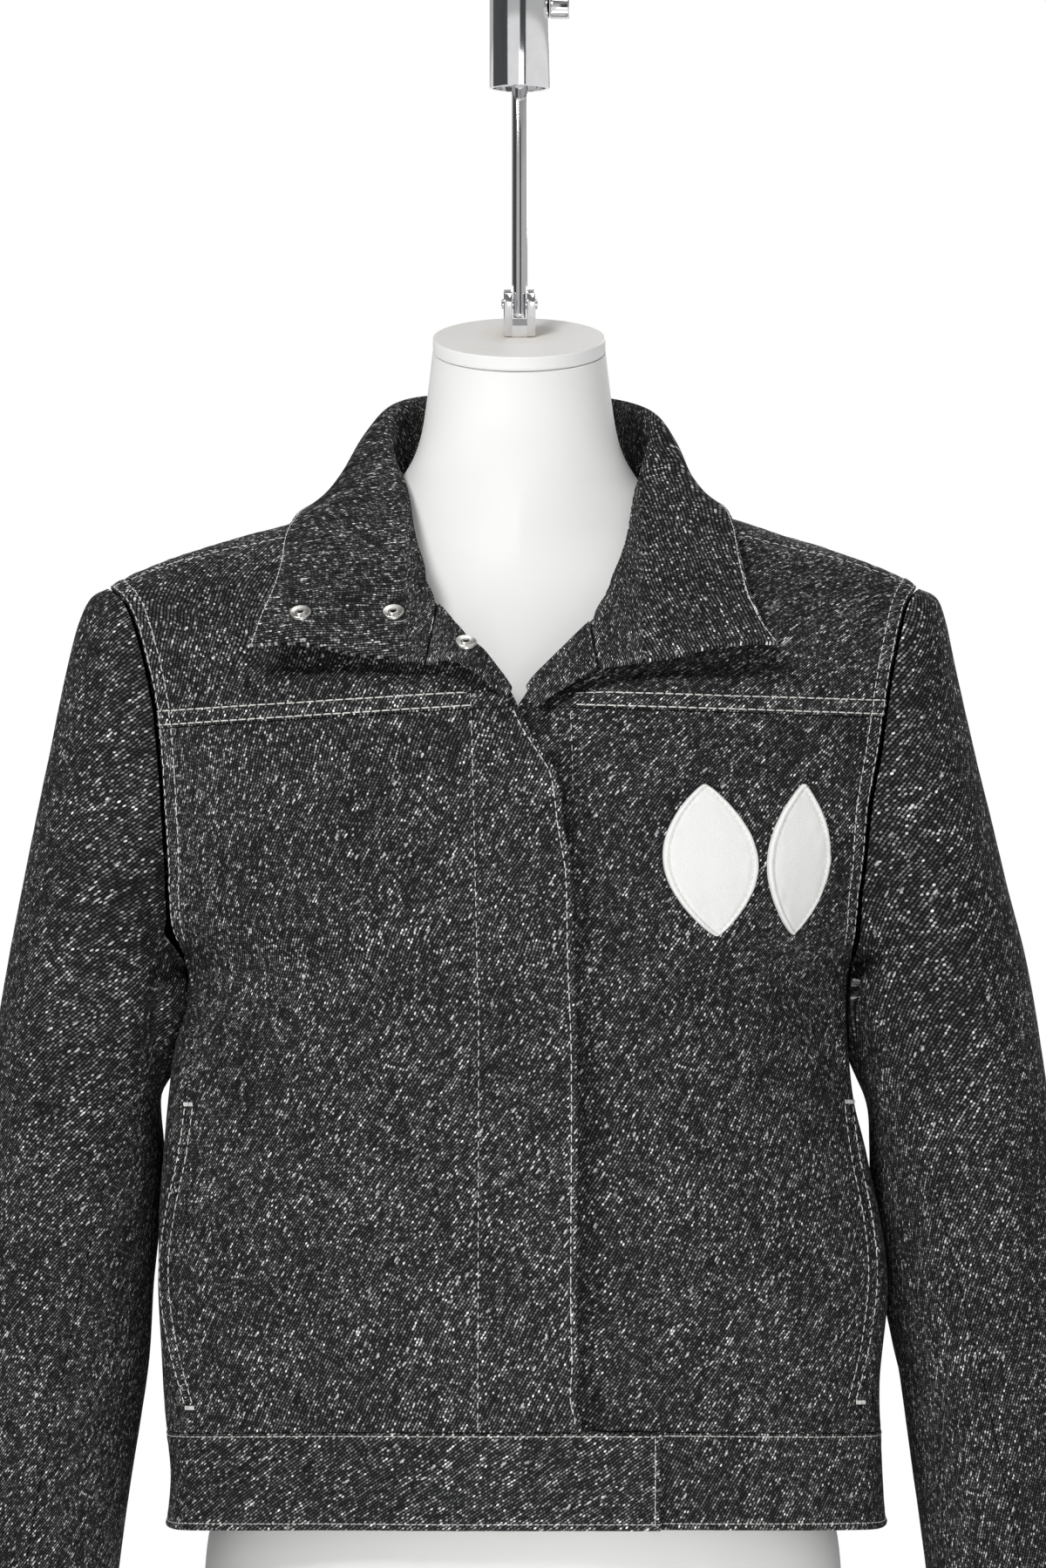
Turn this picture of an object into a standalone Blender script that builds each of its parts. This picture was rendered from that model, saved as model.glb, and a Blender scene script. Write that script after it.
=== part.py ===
"""A cropped denim jacket, worn open at the neck by a limbless dress form.

Run with: blender --background --python part.py

Lengths in the tables are millimetres and become metres where a mesh is made. X runs across the
jacket, with the wearer's right side at -X. Y runs from front (-Y) to back (+Y) and Z is up. The
origin is the centre of the flat base of the dress form.
"""

import math

import bmesh
import bpy
from mathutils import Matrix, Vector
from mathutils.bvhtree import BVHTree

MM = 0.001
CLOTH = 1.8
DOUBLE_CLOTH = 2.2
SEAM = 0.25
CORNER_SEAM = 0.45
FRONT_SIDE_SEAM = 1.35
BACK_SIDE_SEAM = 1.55
SIDE_SEAM = 1.3
LAP = 4.6

HEM_LEVEL = 165.0
BAND_LEVEL = 214.0
ARMPIT_LEVEL = 450.0
SEAM_TOP_LEVEL = 458.0
CHEST_LEVEL = 520.0
SHOULDER_TIP_LEVEL = 646.0
FRONT_LIFT = 8.0
LIFT_ENDS = 400.0

NECK_POINT_ACROSS = 78.0

FRONT_ROUND = 3.0
BACK_ROUND = 2.7
FRONT_FALL = 2.2
BACK_FALL = 3.2
SIDE_MIDDLE = -8.0
SEAM_DEPTH = 18.0
SEAM_DEPTH_RISE = 3.2

RIGHT = -1
LEFT = 1

TURNED_SHARE = 0.5
NECK_EASE = 1.7
BACK_SHOULDER = 0.28
BACK_SEAM_SHARE = 0.5
FRONT_BAND_SIDE_SHARE = 0.2
BAND_SIDE_SHARE = 0.85
TAB_END = 69.0
UNDERLAP = 18.0
SLEEVE_START = 1.0
EDGE_CROWDING = 0.6
SLEEVE_ROUND_BY = 6.0
BACK_SEAM_TURN = math.radians(292)
SLEEVE_LENGTH = 15.0
COLLAR_INSET = 1.4
COLLAR_RISE = 1.5
COLLAR_TURN_STATION = 8.0
STAND_LEAN = 1.5
COLLAR_STATIONS = (9, 8.5, 8, 7.65, 7.3, 7, 6.5, 6, 5.3, 4.6, 4, 3.5, 3, 2.5, 2, 1.3, 0.6, 0)
ROLL_RADIUS = 3.6
ROLL_SHARE = 0.3
FALL_BULGE = 2.5
LAPEL_RISE = 2.6
LAPEL_TOP_RISE = 4.6
LAPEL_BULGE = 2.5

SNAP_RADIUS = 5.5
SNAP_BORE = 1.6
SNAP_HEIGHT = 1.5
SNAP_STANDOFF = 0.3
SNAP_SEATS = {
    "snap_right_outer": ("collar", -111.0, 629.0),
    "snap_right_inner": ("collar", -64.6, 629.4),
    "snap_right_facing": ("facing_right", -28.6, 613.6),
}
PATCH_THICKNESS = 1.3
PATCH_STANDOFF = 0.6
PATCH_FOOT = 469.0
PATCH_HEIGHT = 76.0

REST = 0.25
CAP_RADIUS = 44.5
CAP_HEIGHT = 7.5
CLEVIS_ACROSS = -1.75
CLEVIS_BACK = 4.8
CLEVIS_WIDTH = 16.4
CLEVIS_DEPTH = 15.0
CLEVIS_HEIGHT = 22.5
SLOT_WIDTH = 7.4
SLOT_FLOOR = 6.0
PIN_HEIGHT = 15.6
PIN_RADIUS = 2.5
PIN_LENGTH = 18.6
BORE_EASE = 0.2
ROD_RADIUS = 4.05
TONGUE_WIDTH = 6.4
TONGUE_LENGTH = 17.0
ROD_TOP = 936.0
TUBE_RADIUS = 15.5
TUBE_BORE = 13.4
TUBE_FOOT = 904.0
TUBE_TOP = 955.0
RIM_DEPTH = 3.0
SCREW_LEVEL = 946.0
SCREW_RADIUS = 6.0
SCREW_LENGTH = 10.0


class Table:
    """Rows of numbers under named columns, read between rows by a smooth curve."""

    def __init__(self, names, rows):
        self.names = names.split()
        self.rows = rows

    def at(self, name, value):
        """Gives a column's value where the first column has the given value."""
        rows = self.rows
        column = self.names.index(name)
        value = min(max(value, rows[0][0]), rows[-1][0])
        after = 1
        while rows[after][0] < value:
            after += 1
        low, high = rows[after - 1], rows[after]
        before = rows[max(after - 2, 0)]
        beyond = rows[min(after + 1, len(rows) - 1)]
        span = high[0] - low[0]
        t = (value - low[0]) / span
        start = span * (high[column] - before[column]) / (high[0] - before[0])
        end = span * (beyond[column] - low[column]) / (beyond[0] - low[0])
        return (
            (2 * t**3 - 3 * t**2 + 1) * low[column]
            + (t**3 - 2 * t**2 + t) * start
            + (3 * t**2 - 2 * t**3) * high[column]
            + (t**3 - t**2) * end
        )


BODY = Table(
    "level right_side left_side right_seam left_seam front back",
    [
        (165, 183.0, 186.5, 166.0, 172.0, 104, 98),
        (190, 181.0, 185.0, 165.0, 171.5, 105, 98),
        (214, 183.0, 184.0, 167.0, 171.0, 106, 99),
        (244, 185.0, 183.5, 173.5, 173.5, 107, 100),
        (284, 188.0, 188.0, 181.0, 181.0, 109, 100),
        (305, 187.8, 187.0, 181.0, 180.5, 110, 100),
        (330, 187.0, 182.5, 178.0, 177.0, 111, 100),
        (357, 184.0, 176.5, 173.0, 172.5, 112, 101),
        (381, 181.5, 170.5, 170.0, 166.0, 112, 101),
        (412, 178.0, 167.5, 168.5, 164.0, 112, 102),
        (432, 173.0, 166.8, 168.5, 164.5, 112, 102),
        (447, 172.0, 167.5, 170.0, 166.0, 112, 103),
        (458, 175.0, 170.0, 173.5, 168.5, 112, 103),
    ],
)

CHEST = Table(
    "level front back front_edge back_edge",
    [
        (450, 112, 103, -5, 5),
        (452, 112, 103, 8, 18),
        (458, 112, 103, 23, 33),
        (470, 112, 104, 37, 47),
        (488, 112, 105, 48, 58),
        (500, 112, 105, 53, 63),
        (520, 112, 106, 59, 67),
        (540, 112, 106, 62, 70),
        (720, 112, 106, 62, 70),
    ],
)

ARMHOLE = Table(
    "level right left",
    [
        (450, 172.0, 167.5),
        (458, 174.5, 168.8),
        (470, 179.0, 170.0),
        (488, 180.5, 171.0),
        (500, 180.5, 172.5),
        (534, 182.0, 175.5),
        (562, 184.0, 180.5),
        (585, 186.5, 184.0),
        (605, 191.0, 187.5),
        (622, 196.0, 191.5),
        (634, 201.0, 195.0),
        (641, 206.0, 198.5),
        (646, 213.0, 203.0),
    ],
)

YOKE_SEAM = Table("across level", [(-215, 570), (-187, 573), (-110, 577), (0, 584), (110, 583), (215, 577)])

RIDGE = Table(
    "across level",
    [(-213, 646), (-200, 653), (-188, 658), (-174, 663.2), (-150, 670.5), (-115, 680), (-78, 691), (0, 714),
     (78, 691), (103, 683), (129, 674.5), (158, 665.5), (184, 656), (196, 650.5), (203, 646)],
)

RIGHT_EDGE = Table(
    "level across",
    [(165, 69), (222, 29.2), (250, 27.8), (283, 27.1), (410, 27.3), (459, 25.5), (501, 24.5), (523, 20.9),
     (550, 17.0), (560, 11.3), (575, 1.8), (589, -4.3), (602, -12.2), (613, -21.8), (624, -31.4),
     (636, -43.6)],
)

LEFT_EDGE = Table(
    "level across",
    [(165, -18), (540, -18), (560, -14), (575, -8), (590, -0.9), (598, 4.8), (610, 16.2), (627, 34.0)],
)

RIGHT_NECK = Table(
    "part across level",
    [(0.0, -43.6, 636), (0.25, -53.0, 648), (0.5, -63.0, 661), (0.75, -72.0, 675.5), (1.0, -78.0, 691)],
)

LEFT_NECK = Table(
    "part across level",
    [(0.0, 34.0, 627), (0.25, 46.5, 641), (0.5, 59.0, 656), (0.75, 70.5, 673), (1.0, 78.0, 691)],
)

BACK_NECK = Table(
    "part across level",
    [(0.0, -78.0, 691), (0.12, -72.0, 690.5), (0.3, -48.0, 694), (0.5, 0.0, 697),
     (0.7, 48.0, 694), (0.88, 72.0, 690.5), (1.0, 78.0, 691)],
)


SLEEVE = Table(
    "station inner inner_level outer_right outer_left outer_level front back middle seam_turn",
    [
        (0, 173.5, 450, 214.5, 205.0, 646, 62, 70, 5, 0.50),
        (1, 175.5, 449, 222.5, 213.0, 641, 64, 72, 5, 0.52),
        (2, 177.5, 447, 229.5, 218.5, 627, 66, 73, 6, 0.54),
        (3, 179.5, 444, 236.0, 224.0, 602, 68, 74, 7, 0.58),
        (4, 182.0, 440, 243.5, 232.0, 568, 69, 73, 8, 0.62),
        (5, 184.5, 434, 251.5, 242.0, 530, 70, 71, 9, 0.68),
        (6, 186.5, 425, 259.0, 251.0, 492, 70, 69, 11, 0.75),
        (7, 189.5, 410, 266.5, 260.5, 456, 68, 67, 13, 0.83),
        (8, 191.0, 385, 273.5, 268.0, 412, 65, 65, 16, 0.92),
        (9, 191.0, 350, 279.0, 275.0, 364, 61, 62, 19, 1.06),
        (10, 191.5, 300, 284.5, 281.5, 308, 57, 58, 20, 1.24),
        (11, 194.0, 255, 288.0, 286.0, 258, 54, 55, 18, 1.38),
        (12, 199.5, 210, 291.0, 290.0, 210, 51, 52, 14, 1.50),
        (13, 206.0, 160, 294.0, 294.0, 158, 49, 49, 8, 1.60),
        (14, 212.0, 110, 297.0, 297.0, 106, 47, 47, 2, 1.68),
        (15, 217.0, 66, 299.0, 299.0, 62, 46, 46, -3, 1.75),
    ],
)

RIGHT_COLLAR = Table(
    "station neck_across neck_level roll_x roll_y roll_z edge_x edge_y edge_z",
    [
        (0, 0, 697, 0, 69, 749.2, 0, 86, 703),
        (1, -46, 694.5, -38.5, 61, 748.2, -50, 79, 701),
        (2, -71, 690.5, -61, 38, 744.2, -90, 56, 695),
        (3, -78, 691, -71.5, 8, 733.3, -116, 16, 688),
        (4, -77.5, 687.5, -70.5, -14, 714.5, -119, -18, 682),
        (5, -73, 677.5, -63.3, -37, 696.7, -121, -46, 670),
        (6, -64.5, 663.5, -59.5, -60, 675, -123, -67, 655),
        (7, -54, 649.5, -52.5, -81, 655.5, -127, -83, 641),
        (7.5, -48.8, 642.5, -48.3, -89, 645.5, -130, -88, 634),
        (8, -43.6, 636, -43.6, -94, 636, -133, -93, 627),
        (9, -49.5, 606, -49.5, -106, 606, -137.5, -99, 614),
    ],
)

LEFT_COLLAR = Table(
    "station neck_across neck_level roll_x roll_y roll_z edge_x edge_y edge_z",
    [
        (0, 0, 697, 0, 69, 749.2, 0, 86, 703),
        (1, 46, 694.5, 38.5, 61, 747.2, 48, 79, 700),
        (2, 71, 690.5, 61, 38, 741.2, 83, 56, 694),
        (3, 78, 691, 69.5, 8, 729.3, 104, 14, 688),
        (4, 77.5, 687.5, 66.5, -14, 711.5, 105.5, -18, 686),
        (5, 72.5, 676.5, 61.3, -37.5, 692.7, 107.5, -46, 674),
        (6, 60.5, 658.5, 56.5, -62, 670.2, 110, -67, 659),
        (7, 48.5, 643.5, 47, -84, 649.5, 113.5, -83, 642),
        (7.5, 41.5, 635.5, 41, -92.5, 639, 116.5, -88, 634),
        (8, 34.5, 627.5, 34.5, -98, 627.5, 120, -93, 626),
        (9, 38.5, 603, 38.5, -106, 603, 128.5, -99, 615),
    ],
)

RIGHT_LAPEL = Table(
    "part roll_across roll_level edge_x edge_y edge_z",
    [
        (0.0, -42.0, 635.5, -48.0, -106.0, 605),
        (0.3, -33.0, 625.5, -38.5, -108.5, 606.5),
        (0.6, -21.8, 613, -27.0, -110.5, 603),
        (0.85, -11.5, 601, -13.5, -112.0, 592),
        (1.0, -5.5, 592.5, -7.5, -111.0, 586.5),
    ],
)

LEFT_LAPEL = Table(
    "part roll_across roll_level edge_x edge_y edge_z",
    [
        (0.0, 32.9, 626.5, 37.0, -106.0, 602),
        (0.3, 24.5, 618, 28.0, -108.0, 598),
        (0.6, 14.0, 607.5, 18.0, -109.0, 591.5),
        (0.85, 5.5, 599, 9.5, -108.5, 585.5),
        (1.0, 1.5, 593.5, 5.5, -107.5, 583),
    ],
)

FORM = Table(
    "level half_width front back round",
    [
        (0, 165, 96, 88, 2.3),
        (70, 167, 98, 89, 2.3),
        (140, 164, 95, 87, 2.3),
        (165, 161, 92, 85, 2.3),
        (200, 149, 88, 80, 2.3),
        (250, 134, 82, 74, 2.3),
        (300, 131, 81, 73, 2.3),
        (350, 138, 86, 77, 2.3),
        (400, 148, 92, 82, 2.3),
        (450, 154, 95, 86, 2.3),
        (500, 156, 95, 88, 2.3),
        (550, 157, 92, 86, 2.3),
        (590, 159, 84, 80, 2.3),
        (620, 160, 73, 71, 2.2),
        (640, 160, 65, 62, 2.0),
        (652, 158, 60, 56, 1.6),
        (659, 153, 57, 53, 1.4),
        (664, 144, 55.5, 51, 1.3),
        (670, 132, 54, 49, 1.3),
        (676.1, 115, 52.5, 47, 1.3),
        (682.7, 93, 51, 45.5, 1.35),
        (688, 77, 49.5, 44.5, 1.5),
        (692, 69.5, 48.5, 44, 1.65),
        (697.4, 65, 47.8, 44, 1.8),
        (704, 60, 47, 44, 1.95),
        (718, 53.5, 46.5, 44, 2.1),
        (740, 50, 46, 44, 2.2),
        (757, 48.5, 45, 44, 2.2),
        (768, 47, 45, 44, 2.2),
    ],
)
NECK_MIDDLE = -2.0
CAP_TILT = math.radians(17.5)


def mix(start, end, part):
    """Gives the value a part of the way from start to end."""
    return start + (end - start) * part


def smooth(part):
    """Eases a value from 0 to 1."""
    part = min(max(part, 0.0), 1.0)
    return part * part * (3 - 2 * part)


def bezier(a, b, c, t):
    """Gives the point at t on the curve from a to c that is pulled towards b."""
    return tuple(mix(mix(p, q, t), mix(q, r, t), t) for p, q, r in zip(a, b, c))


def side_name(side):
    """Names the wearer's side."""
    return "right" if side == RIGHT else "left"


def ridge(across):
    """Gives the level of the shoulder seam at a distance from the middle."""
    return RIDGE.at("level", across)


def shoulder_fade(across, level, power):
    """Gives how much of the chest's depth is left towards the shoulder seam."""
    height = (level - CHEST_LEVEL) / (ridge(across) - CHEST_LEVEL)
    height = min(max(height, 0.0), 1.0)
    return math.sqrt(max(1 - height**power, 0.0))


def seam_depth(level, side):
    """Gives how far forward of the middle the side-front seam lies."""
    name = side_name(side)
    inset = BODY.at(name + "_side", level) - BODY.at(name + "_seam", level)
    return SEAM_DEPTH + SEAM_DEPTH_RISE * inset


def edge_of(level, side):
    """Gives the front sheet's outer edge: the side-front seam, and above it the armhole."""
    name = side_name(side)
    if level < SEAM_TOP_LEVEL:
        return BODY.at(name + "_seam", level), seam_depth(level, side)
    return ARMHOLE.at(name, level), CHEST.at("front_edge", level)


def front_depth(across, level):
    """Gives the depth, towards the front, of the front sheet's outer face."""
    side = LEFT if across > 0 else RIGHT
    edge, edge_depth = edge_of(level, side)
    table = BODY if level < SEAM_TOP_LEVEL else CHEST
    middle = table.at("front", level)
    turn = (abs(across) / edge) ** FRONT_ROUND
    depth = middle - (middle - edge_depth) * turn
    return depth * shoulder_fade(across, level, FRONT_FALL)


def back_depth(across, level):
    """Gives the depth, towards the back, of the back sheet's outer face."""
    side = LEFT if across > 0 else RIGHT
    name = side_name(side)
    if level < SEAM_TOP_LEVEL:
        edge = BODY.at(name + "_seam", level)
        edge_depth = seam_depth(level, side) + 10.0
        middle = BODY.at("back", level)
    else:
        edge = ARMHOLE.at(name, level)
        edge_depth = CHEST.at("back_edge", level)
        middle = CHEST.at("back", level)
    turn = (abs(across) / edge) ** BACK_ROUND
    depth = middle - (middle - edge_depth) * turn
    return depth * shoulder_fade(across, level, BACK_FALL)


def lift(level, depth):
    """Gives how far the hem rises towards the front."""
    fade = 1 - smooth((level - BAND_LEVEL) / (LIFT_ENDS - BAND_LEVEL))
    return FRONT_LIFT * fade * max(depth / 105.0, 0.0) ** 2


def lap_of(across):
    """Gives how far the upper front stands off the lower one, over the fastening and beside it."""
    return LAP * smooth((across + 110.0) / 80.0)


def front_point(across, level, proud=0.0):
    """Gives a point on the front sheet, moved forward by a distance."""
    depth = front_depth(across, level)
    return Vector((across, -depth - proud, level + lift(level, depth)))


def back_point(across, level):
    """Gives a point on the back sheet."""
    return Vector((across, back_depth(across, level), level))


def armhole_level(turn):
    """Gives the armhole's level at a turn, which is 0 at the armpit and pi at the shoulder tip."""
    return mix(ARMPIT_LEVEL, SHOULDER_TIP_LEVEL, 0.5 - 0.5 * math.cos(turn))


def armhole_point(turn, side):
    """Gives a point on the armhole. The turn passes the front first, then the shoulder and the back."""
    level = armhole_level(turn)
    across = side * ARMHOLE.at(side_name(side), level)
    front = math.sin(turn) >= 0
    if front:
        depth = -CHEST.at("front_edge", level) * shoulder_fade(across, level, FRONT_FALL)
    else:
        depth = CHEST.at("back_edge", level) * shoulder_fade(across, level, BACK_FALL)
    return Vector((across, depth, level))


SIDE_TURN = math.acos(1 - 2 * (SEAM_TOP_LEVEL - ARMPIT_LEVEL) / (SHOULDER_TIP_LEVEL - ARMPIT_LEVEL))


def body_side(level, side, part):
    """Gives a point on the side panel's section, from the front seam (0) to the back seam (1)."""
    name = side_name(side)
    seam = BODY.at(name + "_seam", level)
    widest = BODY.at(name + "_side", level)
    front = seam_depth(level, side)
    back = front + 10.0
    front_slope = FRONT_ROUND * (BODY.at("front", level) - front) / seam
    back_slope = BACK_ROUND * (BODY.at("back", level) - back) / seam
    middle = (widest, SIDE_MIDDLE + 12.0 * smooth((level - 400.0) / 50.0))
    if part < 0.5:
        corner = (widest, max(min(-front + front_slope * (widest - seam), middle[1] - 4), -front))
        across, depth = bezier((seam, -front), corner, middle, 2 * part)
    else:
        corner = (widest, min(max(back - back_slope * (widest - seam), middle[1] + 4), back))
        across, depth = bezier(middle, corner, (seam, back), 2 * part - 1)
    return Vector((side * across, depth, level + lift(level, -depth)))


def side_point(side, part, height):
    """Gives a point on the side panel. Part runs front to back, height from the band to the armpit."""
    turn = mix(SIDE_TURN, -SIDE_TURN, part)
    top = armhole_point(turn, side)
    found = body_side(mix(BAND_LEVEL, top.z, height), side, part)
    return found + (top - body_side(top.z, side, part)) * height**8


def coons(bottom, top, start, end, part, height):
    """Gives the across and level inside four border curves, each a function of a part."""
    found = []
    for axis in (0, 1):
        along = mix(bottom(part)[axis], top(part)[axis], height)
        up = mix(start(height)[axis], end(height)[axis], part)
        corners = mix(
            mix(bottom(0.0)[axis], bottom(1.0)[axis], part),
            mix(top(0.0)[axis], top(1.0)[axis], part),
            height,
        )
        found.append(along + up - corners)
    return found


def fastening_edge(side, level):
    """Gives how far across a front's fastening edge lies."""
    table = RIGHT_EDGE if side == RIGHT else LEFT_EDGE
    return table.at("across", level)


def front_panel_point(side, part, height):
    """Gives a point on a front, from its outer edge (0) to its fastening edge (1), band to yoke."""
    outer_top = YOKE_SEAM.at("level", side * 187.0)
    inner_top = YOKE_SEAM.at("level", 0.0)

    def outer(rise):
        level = mix(BAND_LEVEL, outer_top, rise)
        return side * edge_of(level, side)[0], level

    def inner(rise):
        level = mix(BAND_LEVEL, inner_top, rise)
        return fastening_edge(side, max(level, 222.0)), level

    def seam(along):
        across = mix(outer(1.0)[0], inner(1.0)[0], along)
        return across, mix(outer_top, inner_top, along)

    def band(along):
        return mix(outer(0.0)[0], inner(0.0)[0], along), BAND_LEVEL

    across, level = coons(band, seam, outer, inner, part, height)
    proud = lap_of(across) if side == RIGHT else 0.0
    return front_point(across, level, proud)


def yoke_point(side, part, height):
    """Gives a point on a yoke, from the armhole (0) to the neck (1), seam to shoulder."""
    outer_top = YOKE_SEAM.at("level", side * 187.0)
    inner_top = YOKE_SEAM.at("level", 0.0)
    rise = (outer_top - ARMPIT_LEVEL) / (SHOULDER_TIP_LEVEL - ARMPIT_LEVEL)
    start = math.acos(1 - 2 * rise)
    edge, neck = (RIGHT_EDGE, RIGHT_NECK) if side == RIGHT else (LEFT_EDGE, LEFT_NECK)

    def outer(up):
        found = armhole_point(mix(start, math.pi, up), side)
        return found.x, found.z

    def inner(up):
        if up < TURNED_SHARE:
            level = mix(inner_top, edge.rows[-1][0], up / TURNED_SHARE)
            return edge.at("across", level), level
        along = 1 - ((1 - up) / (1 - TURNED_SHARE)) ** NECK_EASE
        return neck.at("across", along), neck.at("level", along)

    def seam(along):
        across = mix(outer(0.0)[0], inner(0.0)[0], along)
        return across, mix(outer_top, inner_top, along)

    def shoulder(along):
        across = mix(outer(1.0)[0], inner(1.0)[0], along)
        return across, ridge(across)

    across, level = coons(seam, shoulder, outer, inner, part, height)
    proud = lap_of(across) * (1 - height) ** 2 if side == RIGHT else 0.0
    return front_point(across, min(level, ridge(across)), proud)


def back_top(part):
    """Gives the across and the level along the back's top: shoulder, neckline, shoulder."""
    if part < BACK_SHOULDER:
        tip = -ARMHOLE.at("right", SHOULDER_TIP_LEVEL)
        across = mix(tip, -NECK_POINT_ACROSS, part / BACK_SHOULDER)
        return across, ridge(across)
    if part > 1 - BACK_SHOULDER:
        tip = ARMHOLE.at("left", SHOULDER_TIP_LEVEL)
        across = mix(NECK_POINT_ACROSS, tip, (part - 1 + BACK_SHOULDER) / BACK_SHOULDER)
        return across, ridge(across)
    along = (part - BACK_SHOULDER) / (1 - 2 * BACK_SHOULDER)
    return BACK_NECK.at("across", along), BACK_NECK.at("level", along)


def back_panel_point(part, height):
    """Gives a point on the back, from the wearer's right (0) to left (1), band to shoulders."""

    def outer(side, up):
        if up < BACK_SEAM_SHARE:
            level = mix(BAND_LEVEL, SEAM_TOP_LEVEL, up / BACK_SEAM_SHARE)
            return side * BODY.at(side_name(side) + "_seam", level), level
        turn = mix(-SIDE_TURN, -math.pi, (up - BACK_SEAM_SHARE) / (1 - BACK_SEAM_SHARE))
        found = armhole_point(turn, side)
        return found.x, found.z

    def right(up):
        return outer(RIGHT, up)

    def left(up):
        return outer(LEFT, up)

    def band(along):
        return mix(right(0.0)[0], left(0.0)[0], along), BAND_LEVEL

    across, level = coons(band, back_top, right, left, part, height)
    return back_point(across, min(level, ridge(across)))


def band_point(section, part, height):
    """Gives a point on a stretch of the waistband, hem to top."""
    level = mix(HEM_LEVEL, BAND_LEVEL, height)
    if section == "back":
        turn = mix(-1.0, 1.0, part)
        side = RIGHT if turn < 0 else LEFT
        reach = abs(turn)
        if reach > BAND_SIDE_SHARE:
            along = (1 - reach) / (1 - BAND_SIDE_SHARE)
            return body_side(level, side, mix(0.5, 1.0, along))
        seam = BODY.at(side_name(side) + "_seam", level)
        return back_point(side * seam * reach / BAND_SIDE_SHARE, level)
    side = RIGHT if section == "right" else LEFT
    end = TAB_END if side == RIGHT else -UNDERLAP
    if part < FRONT_BAND_SIDE_SHARE:
        return body_side(level, side, mix(0.5, 0.0, part / FRONT_BAND_SIDE_SHARE))
    seam = side * BODY.at(side_name(side) + "_seam", level)
    across = mix(seam, end, (part - FRONT_BAND_SIDE_SHARE) / (1 - FRONT_BAND_SIDE_SHARE))
    return front_point(across, level, lap_of(across) if side == RIGHT else 0.0)


def ellipse_share(turn):
    """Gives the share of a sleeve's width passed at a turn, from its inner to its outer edge."""
    return 0.5 - 0.5 * math.cos(turn)


def sleeve_point(side, turn, station):
    """Gives a point on a sleeve. The turn is 0 inside, pi / 2 in front and pi outside."""
    name = side_name(side)
    row = SLEEVE.at
    inner = Vector((side * row("inner", station), 0.0, row("inner_level", station)))
    outer = Vector((side * row("outer_" + name, station), 0.0, row("outer_level", station)))
    front = row("front", station)
    back = row("back", station)
    middle = row("middle", station)
    swing = math.sin(turn)
    depth = middle - front * swing if swing > 0 else middle - back * swing
    round_point = inner.lerp(outer, ellipse_share(turn))
    round_point.y = depth
    armhole = armhole_point(turn, side)
    armhole.x += side * SLEEVE_START
    morph = smooth(station / SLEEVE_ROUND_BY)
    armpit = Vector((side * ARMHOLE.at(name, ARMPIT_LEVEL), 0.0, ARMPIT_LEVEL))
    tip = Vector((side * ARMHOLE.at(name, SHOULDER_TIP_LEVEL), 0.0, SHOULDER_TIP_LEVEL))
    first_inner = side * row("inner", 0)
    first_outer = side * row("outer_" + name, 0)
    own_line = armpit.lerp(tip, ellipse_share(turn)).x
    first_line = mix(first_inner, first_outer, ellipse_share(turn))
    line = mix(first_line, own_line, smooth(station / 1.2))
    shaped = inner.lerp(outer, ellipse_share(turn))
    shaped.x += armhole.x - line
    shaped.y = armhole.y * mix(1.0, 1.1, min(station, 1.0))
    return shaped.lerp(round_point, morph)


def front_seam_turn(station):
    """Gives the turn of the sleeve's front seam."""
    return SLEEVE.at("seam_turn", station)


def top_sleeve_point(side, part, station):
    """Gives a point on the outer half of a sleeve, front seam to back seam."""
    return sleeve_point(side, mix(front_seam_turn(station), BACK_SEAM_TURN, part), station)


def under_sleeve_point(side, part, station):
    """Gives a point on the inner half of a sleeve, back seam to front seam."""
    return sleeve_point(side, mix(BACK_SEAM_TURN, 2 * math.pi + front_seam_turn(station), part), station)


def resampled(points, count):
    """Gives count + 1 points evenly spaced along a path."""
    lengths = [0.0]
    for before, after in zip(points, points[1:]):
        lengths.append(lengths[-1] + (after - before).length)
    found = []
    step = 0
    for index in range(count + 1):
        target = lengths[-1] * index / count
        while step < len(points) - 2 and lengths[step + 1] < target:
            step += 1
        span = lengths[step + 1] - lengths[step]
        found.append(points[step].lerp(points[step + 1], (target - lengths[step]) / span if span else 0.0))
    return found


def smooth_path(points, count):
    """Gives a smooth path of count steps through a few points."""
    fine = []
    last = len(points) - 1
    for index in range(last):
        before = points[max(index - 1, 0)]
        low, high = points[index], points[index + 1]
        beyond = points[min(index + 2, last)]
        for step in range(8):
            t = step / 8
            fine.append(
                0.5 * ((2 * low) + (high - before) * t + (2 * before - 5 * low + 4 * high - beyond) * t * t
                       + (3 * low - before - 3 * high + beyond) * t**3)
            )
    fine.append(points[last])
    return resampled(fine, count)


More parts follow.
